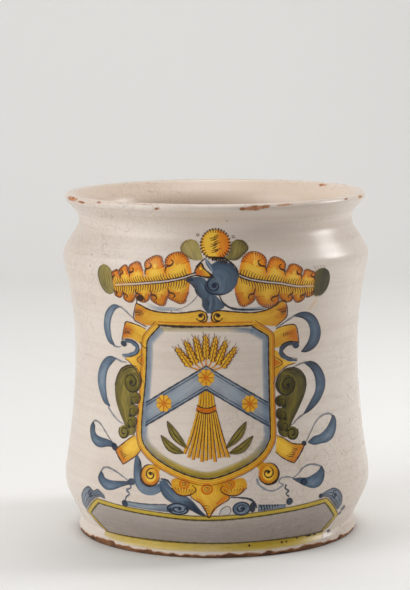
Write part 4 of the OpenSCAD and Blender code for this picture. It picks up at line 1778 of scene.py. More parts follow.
@dataclass
class StrapEnds(Motif):
    """Four strap ends that stand out from the frame's corners."""

    uppers: Sequence[Strap] = (
        Strap(((-61, 145.5), (-57, 145.5), (-50, 143.8), (-46, 142), (-44.6, 139.6)),
              ((-65, 134.8), (-60, 135.4), (-55.5, 134.8), (-51, 132.6), (-47.4, 130.6)),
              (0.15, 0.4, 0.55, 0.4), (0.45, 0.25, -0.05, -0.1, 0),
              ((-46, 142.2), (-50, 143.8), (-57, 145.5), (-61, 145.4), (-63.2, 140), (-65, 134.6)),
              (((-62, 143.6), (-63.4, 139), (-64.2, 136)), ((-56, 142), (-55.6, 139), (-57.5, 136.4))), 0.9,
              (((-61.6, 142), (-63, 138)), ((-55, 140.8), (-55.6, 138))), 0.5,
              ((-47, 130.8), (-51.4, 129), (-53.6, 125.8), (-58, 124), (-63, 122.8)),
              ((-47.4, 108.6), (-50.6, 111.4), (-53.6, 115.6), (-57.6, 119.4), (-62.6, 122.2)),
              ((-63.2, 122.6), (-59, 120.2), (-55, 116.6), (-51, 112), (-48.4, 108.4)),
              ((-48.6, 126.4), (-53.4, 122.4), (-48.4, 119)),
              (((-48.2, 125.4), (-51, 123.6), (-52.8, 122.4)),
               ((-48, 119.8), (-50.6, 121.2), (-52.6, 122))),
              ((-46, 129.8), (-49, 131.6), (-51, 134.2))),
        Strap(((35.4, 139.6), (40, 142.6), (45, 143.8), (50, 144.2), (53, 142.8)),
              ((36, 130), (41.2, 130.6), (46, 132.8), (51, 133.6), (55.8, 132)), (0.15, 0.4, 0.6, 0.4),
              (0, -0.05, 0, 0.3, 0.45),
              ((38.4, 142.2), (44, 143.8), (50, 144.2), (53, 142.8), (54.6, 138), (55.8, 131.8)),
              (((52.8, 141.6), (54.2, 137), (54.6, 134.4)), ((44.4, 140.6), (45, 137.2), (47.6, 135))), 1,
              (((51, 140), (43, 139)), ((51, 136.6), (43, 136.4))), 0.55,
              ((35.6, 130), (39.6, 128.6), (42.6, 124.8), (47, 121.8), (53.2, 120.2)),
              ((35.8, 108), (38.6, 112), (42, 115.8), (46, 118.4), (52.6, 119.6)),
              ((53.4, 119.8), (48, 118.9), (43, 116.4), (39.4, 112.4), (36.6, 108)),
              ((37, 125.4), (43.4, 120.8), (37.4, 117.4)),
              (((36.8, 124.4), (40, 122.6), (42.8, 120.8)), ((37, 118.2), (40, 119.6), (42.6, 120.4)))))
    lowers: Sequence[tuple[Points, Points]] = (
        (((-54, 76), (-60, 71.8), (-66, 67.2), (-69.2, 65.2)),
         ((-48.6, 67.4), (-51.5, 63.8), (-56, 60.4), (-61.6, 56.8))),
        (((38, 76.4), (43, 74), (49, 70.4), (57.8, 69)),
         ((36.6, 66.4), (40, 63.2), (44, 60.6), (49, 58.4))))

    def paint(self) -> None:
        """Draw the upper straps with the parts under their hooks, then the lower straps."""
        for strap in self.uppers:
            self._upper(strap)
        for top, low in self.lowers:
            self._lower(top, low)

    def _upper(self, strap: Strap) -> None:
        """Draw an upper strap.

        Args:
            strap: Its places.
        """
        self.wash(strap.top, strap.low, YELLOW, strap.across, strap.along)
        self.line(strap.edge, (0.5, 0.8, 0.9, 0.9, 0.7), tone=0.75)
        self.ticks(*strap.hatch, 7, strap.hatch_width, YELLOW, 1, cover=0.7)
        self.ticks(*strap.ticks, 6, 0.7, tone=strap.tick_tone)
        self.wash(strap.under, strap.tip, YELLOW, (0.3, 0.2, 0.3, 0.45), (0.15, 0.1, -0.1, -0.15))
        self.line(strap.tip_edge, (0.5, 0.8, 0.7, 0.5), tone=0.7)
        self.line(strap.notch, (0.4, 0.9, 0.4), tone=0.5)
        self.wash(*strap.notch_fill, YELLOW, 0.95, layer=1)
        if strap.kink:
            self.line(strap.kink, (0.5, 0.8, 0.4), tone=0.6)

    def _lower(self, top: Points, low: Points) -> None:
        """Draw a lower strap between two edges that run outwards.

        Args:
            top: Upper edge.
            low: Lower edge.
        """
        self.wash(top, low, YELLOW, (0.5, 0.05, 0.15, 0.6), (0, -0.1, 0.1, 0.45))
        for edge, tone in ((top, 0.7), (low, 0.65)):
            self.line(edge, (0.5, 0.8, 0.9, 0.7), tone=tone)
        first, last = np.array(top[-1]), np.array(low[-1])
        inward = (np.array(top[-2]) - first + np.array(low[-2]) - last) / 2
        self.line([first, (first + last) / 2 - 0.05 * inward, last], (0.9, 1.3, 0.9), tone=0.8)
        ends = [first + share * (last - first) for share in (0.12, 0.88)]
        self.ticks(ends, [p + 1.1 * inward for p in ends], 8, 1.2, YELLOW, 1, 2, 0.7)
        inner = [first + share * (last - first) + 0.45 * inward for share in (0.25, 0.75)]
        self.ticks(inner, [p + 0.8 * inward for p in inner], 5, 0.6, tone=0.55)


@dataclass
class BlueHooks(Motif):
    """Blue hooks that curl out of the upper strap ends."""

    left: Points = ((-62.5, 133.6), (-57, 133.4), (-53.2, 131), (-53.2, 128), (-56.6, 125.8), (-61, 124.8),
                    (-65.4, 124.6))
    right: Points = (
        (51.5, 132.4), (47, 132.4), (43, 130), (42.4, 127), (45, 124.2), (49.4, 122.2), (54.4, 121.4))

    def paint(self) -> None:
        """Draw both hooks with their dark ends."""
        for hook, tone in ((self.left, 0.5), (self.right, 0.75)):
            self.line(hook, (1.6, 3.3, 3.8, 3.4, 2.6, 1), BLUE, (tone + 0.2, tone, tone - 0.1, tone),
                      layer=4)
            self.line(inset(hook, 1.2), (0.5, 0.8, 0.7, 0.4), tone=0.95, layer=5)
        for blob in ((-63.6, 131.8), (53.2, 130.8)):
            self.dab(blob, 2.8, 2, BLUE, 0.95, layer=5, tilt=-10)
        self.line([(-65.4, 134.2), (-62, 134.8), (-57, 134.6), (-52.6, 132.2)], (0.6, 1, 0.9, 0.5),
                  tone=0.9, layer=5)
        self.line([(41.4, 130.2), (44, 132.6), (49, 133.6), (55.6, 132.6)], (0.5, 1, 1.2, 0.8), tone=0.9,
                  layer=5)


@dataclass
class FrameVolutes(Motif):
    """Two orange volutes under the frame."""

    left: Point = (-41.6, 52.2)
    right: Point = (31.4, 53.6)
    radius: float = 6.5

    def paint(self) -> None:
        """Draw each volute as a rolled band with a dark curl."""
        r = self.radius
        for sign, centre in ((-1, self.left), (1, self.right)):
            u, z = centre
            self.wash([(u - 4.4 * sign, z + 8.6), (u - 2 * sign, z + 6.8), (u + 0.4 * sign, z + r)],
                      [(u - 8.6 * sign, z + 5.4), (u - 6.4 * sign, z + 3), (u - 4.2 * sign, z + 0.6)],
                      YELLOW, (0.7, 0.3))
            self.dab(centre, r, r, YELLOW, (0.75, 0.4, 0.25, 0.4, 0.6), (0.2, 0, 0.05), layer=0)
            self.dab((u - 0.4 * sign, z - 0.8), 0.55 * r, 0.5 * r, YELLOW, (0, -0.1), 0, 0.9, 1)
            self.line(circle(centre, 0.82 * r, 0.8 * r, 70, 230 * sign), (0.5, 1.6, 2, 1.4, 0.5), YELLOW,
                      0.95, 0.8, 2)
            self.line(circle(centre, r, r, 90 + 10 * sign, -270 * sign), (0.4, 1, 1.6, 1.9, 1.2, 0.6),
                      tone=0.9)
            self.line(spiral((u - 0.6 * sign, z + 0.4), 0.62 * r, 0.14 * r, 70, -390 * sign),
                      (0.5, 1.2, 0.9, 1.5), tone=0.8)
            self.wash([(u - 0.6 * sign, z + 2.2), (u, z + 2.4), (u + 1.4 * sign, z + 1.6)],
                      [(u - 1.4 * sign, z + 0.4), (u - 0.2 * sign, z - 0.4), (u + 1.6 * sign, z + 1.2)],
                      across=0.95, layer=4, pigment=BROWN)


@dataclass
class PendantShells(Motif):
    """Shells and a drop that hang under the frame."""

    left_top: Points = ((-28, 47.4), (-26.6, 51.4), (-18, 51), (-11, 49.4))
    left_low: Points = ((-27.4, 45.6), (-23, 41.6), (-17, 41.4), (-12.6, 44.6))
    right_top: Points = ((-1, 49.2), (6, 50.4), (15.4, 52), (18, 47.8))
    right_low: Points = ((2, 44.6), (6, 41.8), (12, 41.6), (17.6, 45.8))
    drop_left: Points = ((-15, 49.6), (-15.6, 41), (-10, 36.6), (-5.4, 27.6))
    drop_right: Points = ((3.4, 49.6), (7.4, 40.4), (1.6, 35.6), (-4.6, 27.6))
    rings: Sequence[tuple[Point, float]] = (((-19.6, 48.2), 2.7), ((-6, 45.4), 3), ((7.6, 48.2), 2.6))

    def paint(self) -> None:
        """Draw the two shells, the drop and their rings."""
        self.wash(self.left_top, self.left_low, YELLOW, (0.5, 0.25, 0.3, 0.6), (0.35, 0, 0.1))
        self.wash(self.right_top, self.right_low, YELLOW, (0.5, 0.25, 0.3, 0.6), (0.1, 0, 0.35))
        self.wash(self.drop_left, self.drop_right, YELLOW, (0.4, 0.2, 0.3, 0.75), (0, 0, 0.1, 0.3), layer=1)
        for low, end in ((self.left_low, (-14.8, 47.8)), (self.right_low, (3.4, 47.6))):
            run = [low[0], *low[1:], end] if end[0] < 0 else [low[3], low[2], low[1], low[0], end]
            self.line(run, (0.6, 1, 0.9, 0.6), tone=0.65)
        self.line([(-15.6, 43), (-15.2, 40), (-10, 36.6), (-7, 32), (-5, 27.4), (-2, 33), (1.6, 35.8),
                   (7, 39.4), (6, 42)],
                  (0.6, 0.8, 1, 0.8, 0.6), tone=0.7)
        self.line([(-0.6, 36.4), (3, 39), (5.6, 41.6)], (1, 3, 1.6), YELLOW, 0.95, 0.9, 2)
        self.line([(-12.6, 39.6), (-9, 37.6), (-6.6, 32)], (1, 2, 1), YELLOW, 0.85, 0.7, 2)
        for centre, radius in self.rings:
            self.ring(centre, radius, radius * 0.9, 1.6, YELLOW, 0.95, 2)
            self.ring(centre, radius * 0.5, radius * 0.42, 0.5, tone=0.35)
            self.dab((centre[0] + 0.3, centre[1] + 0.2), 0.9, 0.8, YELLOW, 1, layer=3)
        self.ticks([(-26.4, 46), (-13.6, 45)], [(-24.4, 42.8), (-15.6, 42.8)], 7, 0.6, tone=0.4, cover=0.8)
        self.ticks([(3, 45), (16.6, 46)], [(5.2, 42.8), (14.6, 43.2)], 7, 0.6, tone=0.4, cover=0.8)
        self.ticks([(-9.6, 35.6), (-6.2, 29.6)], [(-0.4, 35.6), (-3.4, 29.6)], 4, 0.6, tone=0.5, cover=0.8)


@dataclass(frozen=True)
class Shield:
    """Places that the charges on the shield share."""

    middle: float = -6.5
    star_top: float = 113.4
    star_side: float = 96.8
    star_gap: float = 27.5
    star_r: float = 5.2
    star_points: int = 8
    star_margin: float = 1.2
    half_width: float = 40

    @property
    def fall(self) -> float:
        """How far the chevron falls for each millimetre from the middle."""
        return (self.star_top - self.star_side) / self.star_gap

    @property
    def chevron_half(self) -> float:
        """Half the chevron's upright width."""
        return (self.star_r + self.star_margin) * math.hypot(1, self.fall)

    def on_chevron(self, du: float, dz: float = 0) -> Point:
        """Give a point du from the middle and dz over the chevron's middle line."""
        return (self.middle + du, self.star_top - self.fall * abs(du) + dz)

    def stars(self) -> list[Point]:
        """List the middles of the stars."""
        return [self.on_chevron(du) for du in (-self.star_gap, 0, self.star_gap)]


@dataclass
class ShieldChevron(Motif):
    """A blue chevron across the shield, edged with two dark lines."""

    shield: Shield = Shield()

    def paint(self) -> None:
        """Draw each arm and its lines."""
        s = self.shield
        for reach in (-s.half_width, s.half_width - 0.4):
            runs = [reach * share for share in (0, 0.25, 0.5, 0.75, 1)]
            top, low = ([s.on_chevron(du, dz) for du in runs] for dz in (s.chevron_half, -s.chevron_half))
            self.wash(top, low, BLUE, (0.3, 0.1, -0.05, 0.15, 0.35), (0, 0.1, -0.1, 0.15, 0.05, 0.2),
                      (0.85, 0.8, 0.9, 0.8, 0.9), layer=3)
            for share, width, tone in (
                    (0.96, 1.3, 0.85), (0.7, 0.8, 0.7), (-0.96, 1.4, 0.85), (-0.7, 0.8, 0.7)):
                line = [s.on_chevron(du, share * s.chevron_half) for du in runs]
                self.line(line, (width, width * 0.8, width, width * 0.9), BLUE, tone, layer=4)


@dataclass
class ChevronStars(Motif):
    """Three yellow stars with orange rays."""

    shield: Shield = Shield()

    def _at(self, star: Point, share: float, angle: float) -> Point:
        """Give a point at a share of a star's radius."""
        reach = share * self.shield.star_r
        return (star[0] + reach * math.cos(angle), star[1] + reach * math.sin(angle))

    def paint(self) -> None:
        """Draw each star petal by petal."""
        r, points = self.shield.star_r, self.shield.star_points
        for star in self.shield.stars():
            self.dab(star, 0.7 * r, 0.7 * r, YELLOW, 0.4, layer=5)
            for i in range(points):
                a = 2 * math.pi * (i + 0.5) / points
                petal = self._at(star, 0.66, a)
                self.dab(petal, 0.44 * r, 0.34 * r, YELLOW, (0.4, 0.2, 0.4), layer=5, tilt=math.degrees(a))
                ray = [self._at(star, share, a + math.pi / points) for share in (0.1, 0.5, 0.95)]
                self.line(ray, (0.9, 1, 0.6), YELLOW, 1, layer=7)
            self.dab(star, 1.2, 1.2, YELLOW, 1, layer=8)


@dataclass
class WheatSheaf(Motif):
    """A golden sheaf, with its ears over the chevron and its stalks under it."""

    shield: Shield = Shield()
    ears: Sequence[tuple[float, float, float]] = (
        (9.6, 19.6, 19), (-9.6, -19.6, 19), (6.4, 13.4, 23.4), (-6.4, -13.4, 23.4), (3.2, 6.8, 26),
        (-3.2, -6.8, 26), (0, 0, 27.2))
    tie_h: float = 94
    foot_h: float = 62.6
    ear_half: float = 2.5
    grains: int = 5

    def _ear(self, start: Point, tip: Point) -> None:
        """Draw one ear of wheat.

        Args:
            start: End of its stalk.
            tip: Its tip.
        """
        a, b = np.array(start), np.array(tip)
        along = b - a
        side = np.array([-along[1], along[0]]) / np.linalg.norm(along)
        lean = math.degrees(math.atan2(along[1], along[0])) - 90
        widths = (0.4, 1, 0.9, 0.1)
        one, other = ([tuple(a + along * t + side * sign * w * self.ear_half)
                       for t, w in zip((0, 0.3, 0.65, 1), widths)]
                      for sign in (1, -1))
        self.wash(one, other, YELLOW, (0.6, 0.25, 0.4, 0.8), layer=6)
        for i in range(2 * self.grains):
            sign = 1 if i % 2 else -1
            width = self.ear_half * (0.66 - 0.045 * i)
            grain = a + along * (0.12 + 0.078 * i) + side * sign * width
            self.dab(tuple(grain), 1.15, 1.9, YELLOW, (0.2, 0.85) if sign < 0 else (0.6, 0.1), layer=7,
                     tilt=lean + 22 * sign)
            edge = [grain - along * 0.09, grain + side * sign * 1.2, grain + along * 0.1]
            self.line([tuple(p) for p in edge], (0.4, 0.75, 0.4), tone=0.65, layer=8)
            awn = [grain + along * 0.08, grain + along * 0.16 + side * sign * 0.9,
                   grain + along * 0.26 + side * sign * 1.4]
            self.line([tuple(p) for p in awn], (0.5, 0.4, 0.25), tone=0.55, cover=0.85, layer=8)
        self.line([start, tip], (0.6, 0.6, 0.3), tone=0.6, layer=8)

    def paint(self) -> None:
        """Draw the stalks, the tie and the ears."""
        s = self.shield
        neck_h = s.star_top - s.chevron_half + 0.4
        for i in range(-5, 6):
            foot_h = self.foot_h + 0.12 * i * i + 1.1 * math.sin(2.3 * i)
            stalk = [(s.middle + 0.75 * i, neck_h - s.fall * abs(0.75 * i)),
                     (s.middle + 1.05 * i, self.tie_h), (s.middle + 1.95 * i + 0.3 * math.sin(3 * i), 76),
                     (s.middle + 2.7 * i, foot_h)]
            self.line(stalk, (1.3, 1.6, 2.2, 2.7), YELLOW, (0.5, 0.35, 0.3 + 0.12 * (i % 3), 0.6), layer=2)
            self.line([(u + 0.8, z) for u, z in stalk[1 - i % 2:]], (0.3, 0.6, 0.75, 0.45), tone=0.65,
                      layer=3)
        for dz, width, pigment, tone, layer in (
                (0, 3.2, YELLOW, 1, 4), (1.6, 0.8, BROWN, 0.85, 5), (-1.6, 0.9, BROWN, 0.85, 5)):
            band = [(s.middle + du, self.tie_h + dz - 1 + 0.05 * du * du) for du in (-6, -3, 0, 3, 6)]
            self.line(band, width, pigment, tone, layer=layer)
        crown = s.star_top + s.chevron_half
        for start, tip, rise in self.ears:
            root = (s.middle + start * 0.5, crown - s.fall * abs(start * 0.5))
            neck = (s.middle + start, crown + 3.6 - 0.5 * abs(start))
            self.line([root, neck], (1.2, 1.1), YELLOW, 0.75, layer=5)
            self._ear(neck, (s.middle + tip, s.star_top + rise))


@dataclass
class ShieldLeaves(Motif):
    """Olive leaves on both sides of the sheaf's foot."""

    shield: Shield = Shield()
    leaves: Sequence[Points] = (((12, 70), (20, 78), (25, 86)), ((14, 67), (22, 70), (29, 77)))
    half: float = 2.5

    def paint(self) -> None:
        """Draw each leaf with its rib."""
        for sign in (-1, 1):
            for leaf in self.leaves:
                rib = spline([(self.shield.middle + sign * u, z) for u, z in leaf])
                swell = self.half * np.sin(np.linspace(0.1, math.pi - 0.05, len(rib)))[:, None] ** 0.8
                one, other = ((rib + side * swell * sideways(rib))[::4] for side in (1, -1))
                self.wash(one, other, OLIVE, (0.75, 0.3, 0.4, 0.8), (0.2, -0.1, 0.2))
                self.line(rib[::6], (0.5, 0.8, 0.3), OLIVE, 1, layer=2)
                self.line(one, (0.3, 0.7, 0.4), tone=0.8)
                self.line(other, (0.3, 0.6, 0.4), tone=0.7, cover=0.8)


@dataclass
class GreenScroll(Motif):
    """An olive scroll beside the shield, rolled in at its top and its foot."""

    outer: Points
    inner: Points
    eye: Point
    lobes: Points
    foot: Point
    side: int
    tone: float

    def paint(self) -> None:
        """Draw the scroll's wash, its rolled ends and its lobes."""
        t, side = self.tone, self.side
        self.wash(self.outer, self.inner, OLIVE, (t + 0.2, t - 0.05, t - 0.2, t, t + 0.25),
                  (0, 0.05, 0.05, 0.1, 0.1))
        u, z = self.eye
        self.dab(self.eye, 6.4, 6, OLIVE, (t - 0.1, t + 0.1, t + 0.2), layer=1)
        self.line(spiral(self.eye, 7.4, 1.4, 90 + 70 * side, 560 * side), (0.5, 1.3, 1, 1.3, 1.2), OLIVE,
                  1.1, 0.95, 3)
        self.dab((u + 0.4 * side, z - 0.2), 1.7, 1.4, OLIVE, 1.1, layer=4)
        self.line(circle(self.eye, 4.9, 4.6, 90 - 20 * side, 150 * side), (0.5, 1.2, 0.5), OLIVE, t - 0.35,
                  0.7, 2)
        self.line(self.outer[:6], (0.5, 1, 0.8, 0.4), tone=0.9)
        self.line([(p - side, q - 1.3) for p, q in self.outer[:4]], (0.4, 0.8, 0.4), tone=0.85)
        self.line(self.inner[:5], (0.4, 0.9, 0.7, 0.4), tone=0.85)
        for p, q in self.lobes:
            self.dab((p, q), 3.5, 3.4, OLIVE, (t - 0.2, t + 0.3) if side < 0 else (t + 0.3, t - 0.2),
                     (0.25, 0, -0.1), 1, 1)
            self.line(circle((p, q), 3.6, 3.5, 90, 190 * side), (0.4, 0.9, 0.9, 0.5), tone=0.85)
            self.line(spiral((p + side, q - 0.6), 3.2, 0.8, 270, 230 * side), (0.6, 1.3, 1, 0.5), OLIVE, 1,
                      0.9, 3)
            self.dab((p + 2.6 * side, q - 3.6), 1.6, 1.1, OLIVE, 1, layer=3)
        self.dab(self.foot, 4.6, 4.2, OLIVE, (t - 0.25, t + 0.05), layer=1)
        self.line(spiral(self.foot, 4.6, 1, 90 - 60 * side, -520 * side), (0.6, 1.2, 1, 1.2), OLIVE, 1.05,
                  layer=3)
        run = np.linspace(0.2, 0.9, 7)
        middle = 0.62 * at_shares(spline(self.outer), run) + 0.38 * at_shares(spline(self.inner), run)
        self.line(middle, (0.8, 2.2, 2, 0.8), OLIVE, t - 0.35, 0.55, 1)


@dataclass(frozen=True)
class BlueLeaf:
    """A blue leaf between two edges, with thin tails and a dark end."""

    outer: Points
    inner: Points
    tails: Sequence[Points]
    knob: tuple[Point, float] | None = None
    depth: float = 0


@dataclass
class BlueLeaves(Motif):
    """Four blue leaves down one side, and the chain that hangs beside them."""

    leaves: Sequence[BlueLeaf]
    tone: float
    chain: Points
    bead: Point

    def paint(self) -> None:
        """Draw the leaves with pools of colour at their ends, and the chain."""
        for leaf in self.leaves:
            t = self.tone + leaf.depth
            self.wash(leaf.outer, leaf.inner, BLUE, (t + 0.2, t - 0.1, t - 0.2, t + 0.25),
                      (0.35, 0.05, -0.15, 0, 0.4))
            for tail in leaf.tails:
                self.line(tail, (1.6, 1.4, 1.2, 0.8), BLUE, t + 0.05, 0.75, 1)
            if leaf.knob:
                self.dab(leaf.knob[0], leaf.knob[1], 0.75 * leaf.knob[1], BLUE, (1, 0.85), layer=2,
                         tilt=-20)
        self.line(self.chain, (1.2, 1.6, 1.1, 1.4), BLUE, self.tone + 0.2, 0.9, 1)
        self.dab(self.bead, 2.5, 2.4, BLUE, (1, 0.8), layer=2)


@dataclass
class BlueRibbon(Motif):
    """A blue ribbon that winds from the left volute to the drop, and a thin line on the right."""

    upper: Points = (
        (-35.5, 49.4), (-31.5, 50.2), (-28.4, 46.8), (-24, 42.6), (-17.6, 40.6), (-14, 37.8), (-10, 32.8),
        (-5.4, 27.8))
    lower: Points = (
        (-35, 45.4), (-33, 40.6), (-28.4, 36.8), (-22, 34.2), (-17, 32.4), (-13, 30.2), (-9.6, 28.4),
        (-6, 27.6))
    loop_out: Points = (
        (-52.4, 64.4), (-53.4, 60), (-53.6, 54), (-52.8, 48.2), (-50, 43.4), (-45.5, 40.2), (-39, 40),
        (-32.5, 43.4))
    loop_in: Points = (
        (-50.6, 63.4), (-48, 59.4), (-47.2, 54), (-46.6, 50), (-44.6, 47.8), (-42, 46.8), (-38.5, 46.6),
        (-33.5, 48.6))

    def paint(self) -> None:
        """Draw the ribbon, the loop round the volute and the line."""
        self.wash(self.loop_out, self.loop_in, BLUE, (0.5, 0.3, 0.45, 0.8),
                  (0.2, 0.25, 0.05, -0.1, -0.1, 0.1), layer=-1)
        self.wash(self.upper, self.lower, BLUE, (0.6, 0.4, 0.5, 0.75), (0.1, 0.05, -0.05, 0.15, 0.35, 0.4))
        self.dab((-54.2, 47), 3, 2.2, BLUE, (0.95, 0.7), layer=2)
        self.line([(-34.6, 50.6), (-30.4, 50), (-27.4, 46.6)], (0.8, 1.6, 0.6), BLUE, 0.95, layer=2)
        self.wash([(-20, 38.4), (-14.6, 37), (-10.4, 32.4), (-5.4, 27.8)],
                  [(-18.4, 34), (-13.6, 31.6), (-10, 29), (-6, 27.6)], BLUE, (0.9, 1), 0, (0.3, 1, 1, 1),
                  layer=1)
        self.line([(23.8, 51), (25.2, 47), (30, 43.6), (35, 43.2), (40.6, 46)], (1.8, 1.6, 1.2, 1.1), BLUE,
                  0.4, 0.75, 1)
        self.line([(40.6, 46), (37.6, 48), (39.4, 50.2), (43.4, 50.6), (47.6, 49.4)], (1.1, 1, 1, 1.1),
                  BLUE, 0.45, 0.8, 1)


@dataclass
class LabelRolls(Motif):
    """Blue rolls and curled ribbons on the upper edge of the label."""

    def paint(self) -> None:
        """Draw the rolls, their round ends and the corner ribbons."""
        self.wash([(-60, 34.6), (-45, 34.2), (-28, 35)], [(-60, 31.4), (-45, 30.6), (-28, 29.8)], BLUE,
                  (0.5, 0, 0.2, 0.6), (0.2, 0, 0.3), 0.9)
        self.line([(-60, 34.6), (-45, 34.3), (-30, 35.2)], (0.5, 0.8, 0.7), BLUE, 0.9, 0.9, 2)
        self.wash([(24, 35.4), (32, 34.8), (42, 34)], [(24, 30.4), (32, 31), (42, 31.4)], BLUE,
                  (0.5, 0.1, 0.6), (0.3, 0, 0.2), 0.9)
        self.ticks([(24.6, 34.8), (37, 34.2)], [(25.6, 30.8), (37.6, 31.2)], 7, 1, BLUE, 1)
        for centre, rx, rz, turn in (((-23.6, 32.6), 6.4, 3.5, -400), ((14.2, 33), 5, 4.1, 400)):
            self.dab(centre, rx, rz, BLUE, (0.55, 0.1, 0.4), layer=1)
            self.ring(centre, rx, rz, 1.2, BLUE, 0.95, 3)
            self.line([(centre[0] + (u - centre[0]) * rx / rz, z)
                       for u, z in spiral(centre, 0.7 * rz, 0.2 * rz, 20, turn)],
                      (0.6, 1.2, 1.4), BLUE, 1, layer=3)
        for spot, rx, rz in (
                ((-28.2, 31.6), 1.7, 1.6), ((-22.4, 33), 1.5, 1.3), ((-17.8, 33.4), 1.4, 1.6),
                ((15, 33.2), 1.8, 1.5), ((20.8, 33.6), 2.1, 3.4)):
            self.dab(spot, rx, rz, BLUE, 1, layer=4)
        self.line([(7.6, 40.4), (13, 40), (18.6, 39), (22, 36.4), (23.4, 33)], (0.6, 1.1, 1.6, 1.6, 0.8),
                  BLUE, 0.95, layer=3)
        self.line([(1, 29), (2.6, 33.2), (6.4, 34.8), (8, 31.4), (5.6, 28.6)], (0.5, 0.8, 0.7, 0.5), BLUE,
                  0.85, 0.8, 3)
        self.wash([(2, 33), (5.4, 34), (8.6, 32)], [(1, 29.4), (4, 29.4), (7.4, 29.8)], BLUE, (0, -0.3), 0,
                  0.35)
        self._corner([(-106, 23.6), (-101.4, 31), (-95.6, 36.6), (-90.6, 38.4), (-86, 36.6), (-81.6, 38.4),
                      (-75.4, 35.6)],
                     [(-104, 20.4), (-97.4, 25), (-92, 28.6), (-87.6, 31.2), (-83.6, 33), (-80, 34),
                      (-75, 33.4)],
                     (-89.4, 34))
        self._corner([(66.4, 36.6), (72, 38), (77.6, 38.8), (83, 36.6), (87.4, 31.6), (89.6, 25)],
                     [(66.4, 34.4), (71.6, 34.6), (75.6, 32.4), (79.6, 29), (83.6, 25.6), (87.6, 22.4)],
                     (79.4, 34.4))
        self.dab((66.6, 35.8), 1.7, 1.5, BLUE, 1, layer=3)
        for spot, rx, rz in (((94, 22.6), 3, 1.9), ((92.6, 19.4), 2.2, 1.3), ((86.4, 8.4), 2.6, 1)):
            self.dab(spot, rx, rz, BLUE, (0.6, 0.9), 0, 0.85, 1)

    def _corner(self, upper: Points, lower: Points, curl: Point) -> None:
        """Draw a curled ribbon over a corner of the label.

        Args:
            upper: Its upper edge.
            lower: Its lower edge.
            curl: Middle of its curl.
        """
        self.wash(upper, lower, BLUE, (0.5, 0.15, 0.2, 0.6), (0.2, 0, 0.1, 0.3, 0.1), 0.9)
        a, b = np.array(upper), np.array(lower)
        for share, width in ((0, 0.9), (0.4, 0.6), (0.7, 0.7), (1, 0.9)):
            self.line(a + share * (b - a), (0.4, width, width, 0.4), BLUE, 0.95, 0.85, 2)
        self.line(spiral(curl, 2.8, 0.8, 60, 400), (0.5, 1, 1.1, 0.9), BLUE, 0.95, layer=3)
        self.dab(curl, 1.3, 1.1, BLUE, 1, layer=3)


@dataclass
class LabelBorder(Motif):
    """The greenish yellow border of the label over the foot, and its grey: thin wash and painted shade."""

    outer: Points = (
        (-104, 19.4), (-83, 32.4), (-45, 30.2), (-6, 28.4), (40, 31.4), (72, 33.6), (91, 18.6), (80, 9.4),
        (-4, 9.2), (-88, 9))
    corner_places: Sequence[int] = (0, 1, 5, 6, 7, 9)
    band: float = 3
    foot_step: float = 0.35

    def _corners(self) -> Array:
        """Mitre the inner corners of the border.

        Returns:
            The corners.
        """
        outer = np.array([self.outer[i] for i in self.corner_places], float)
        ahead = np.roll(outer, -1, 0) - outer
        ahead /= np.linalg.norm(ahead, axis=1, keepdims=True)
        right = np.stack([ahead[:, 1], -ahead[:, 0]], 1)
        before = np.roll(right, 1, 0)
        inner = outer + self.band * (right + before) / (1 + (right * before).sum(1, keepdims=True))
        inner[-2:] = outer[-2:] + np.array([[-self.band, 0], [self.band, 0]])
        return inner

    def _side(self, run: Points, ends: Points) -> None:
        """Draw one side of the border with its two edge lines.

        Args:
            run: Outer edge.
            ends: First and last point of the inner edge.
        """
        edge = np.array(run, float)
        shares = (arc_lengths(edge) / arc_lengths(edge)[-1])[:, None]
        drift = (1 - shares) * (np.array(ends[0]) - edge[0]) + shares * (np.array(ends[1]) - edge[-1])
        inner = edge + drift
        self.wash(edge, inner, BORDER, (0.6, 0.25, 0.35, 0.7))
        self.line(edge, (0.6, 0.9, 0.7), BORDER, 1, 0.9, 2)
        self.line(inner, (0.9, 1.4, 1), BORDER, 1.05, 1, 2)

    def paint(self) -> None:
        """Draw the panel's grey of thin wash and painted shade, then its sides one after another."""
        o = self.outer
        # The grey over the label is a thin wash deepened with painted shade, for the dark under the belly.
        self.wash([o[0], o[1], (-45, 28), (-6, 26.4), (40, 29.4), o[5], o[6]],
                  [o[0], o[9], (-45, 8.6), o[8], (40, 8.8), o[7], o[6]], PALE_AND_SHADE, 1, 0, 0.7, (0.7, 0.9, 1, 1),
                  -1, step=0.8)
        inner = self._corners()
        for first, (start, end) in enumerate(zip(self.corner_places[:4], self.corner_places[1:5])):
            self._side(o[start:end + 1], inner[first:first + 2])
        self._side([o[9], o[0]], [inner[-1], inner[0]])
        foot = [(-90, 7.8), (-84, 5.6), (-45, 3.8), (-4, 3.9), (40, 3.8), (74, 5), (81, 7.8)]
        self.wash([o[9], (-84, 9.2), (-45, 9.4), o[8], (40, 9.6), (74, 9.6), o[7]], foot, BORDER,
                  (0.75, 0.5, 0.4, 0.3, 0.2), 0, (0.7, 1, 1, 0.85, 1, 1, 0.7), (1, 1, 1, 0.9, 0.35),
                  step=self.foot_step)
        self.line([o[9], (-45, 9.4), o[8], (40, 9.6), o[7]], (0.8, 1.5, 1, 1.4), BORDER, 1.05, 0.95, 2)
        for u, z, size in (
                (21, 7.2, 1), (44, 7.4, 1.2), (47.4, 7.4, 0.9), (56, 8.6, 0.9), (66, 8.8, 3),
                (71.5, 8.8, 1.4)):
            self.dab((u, z), size, 0.7, across=0.95, layer=3)


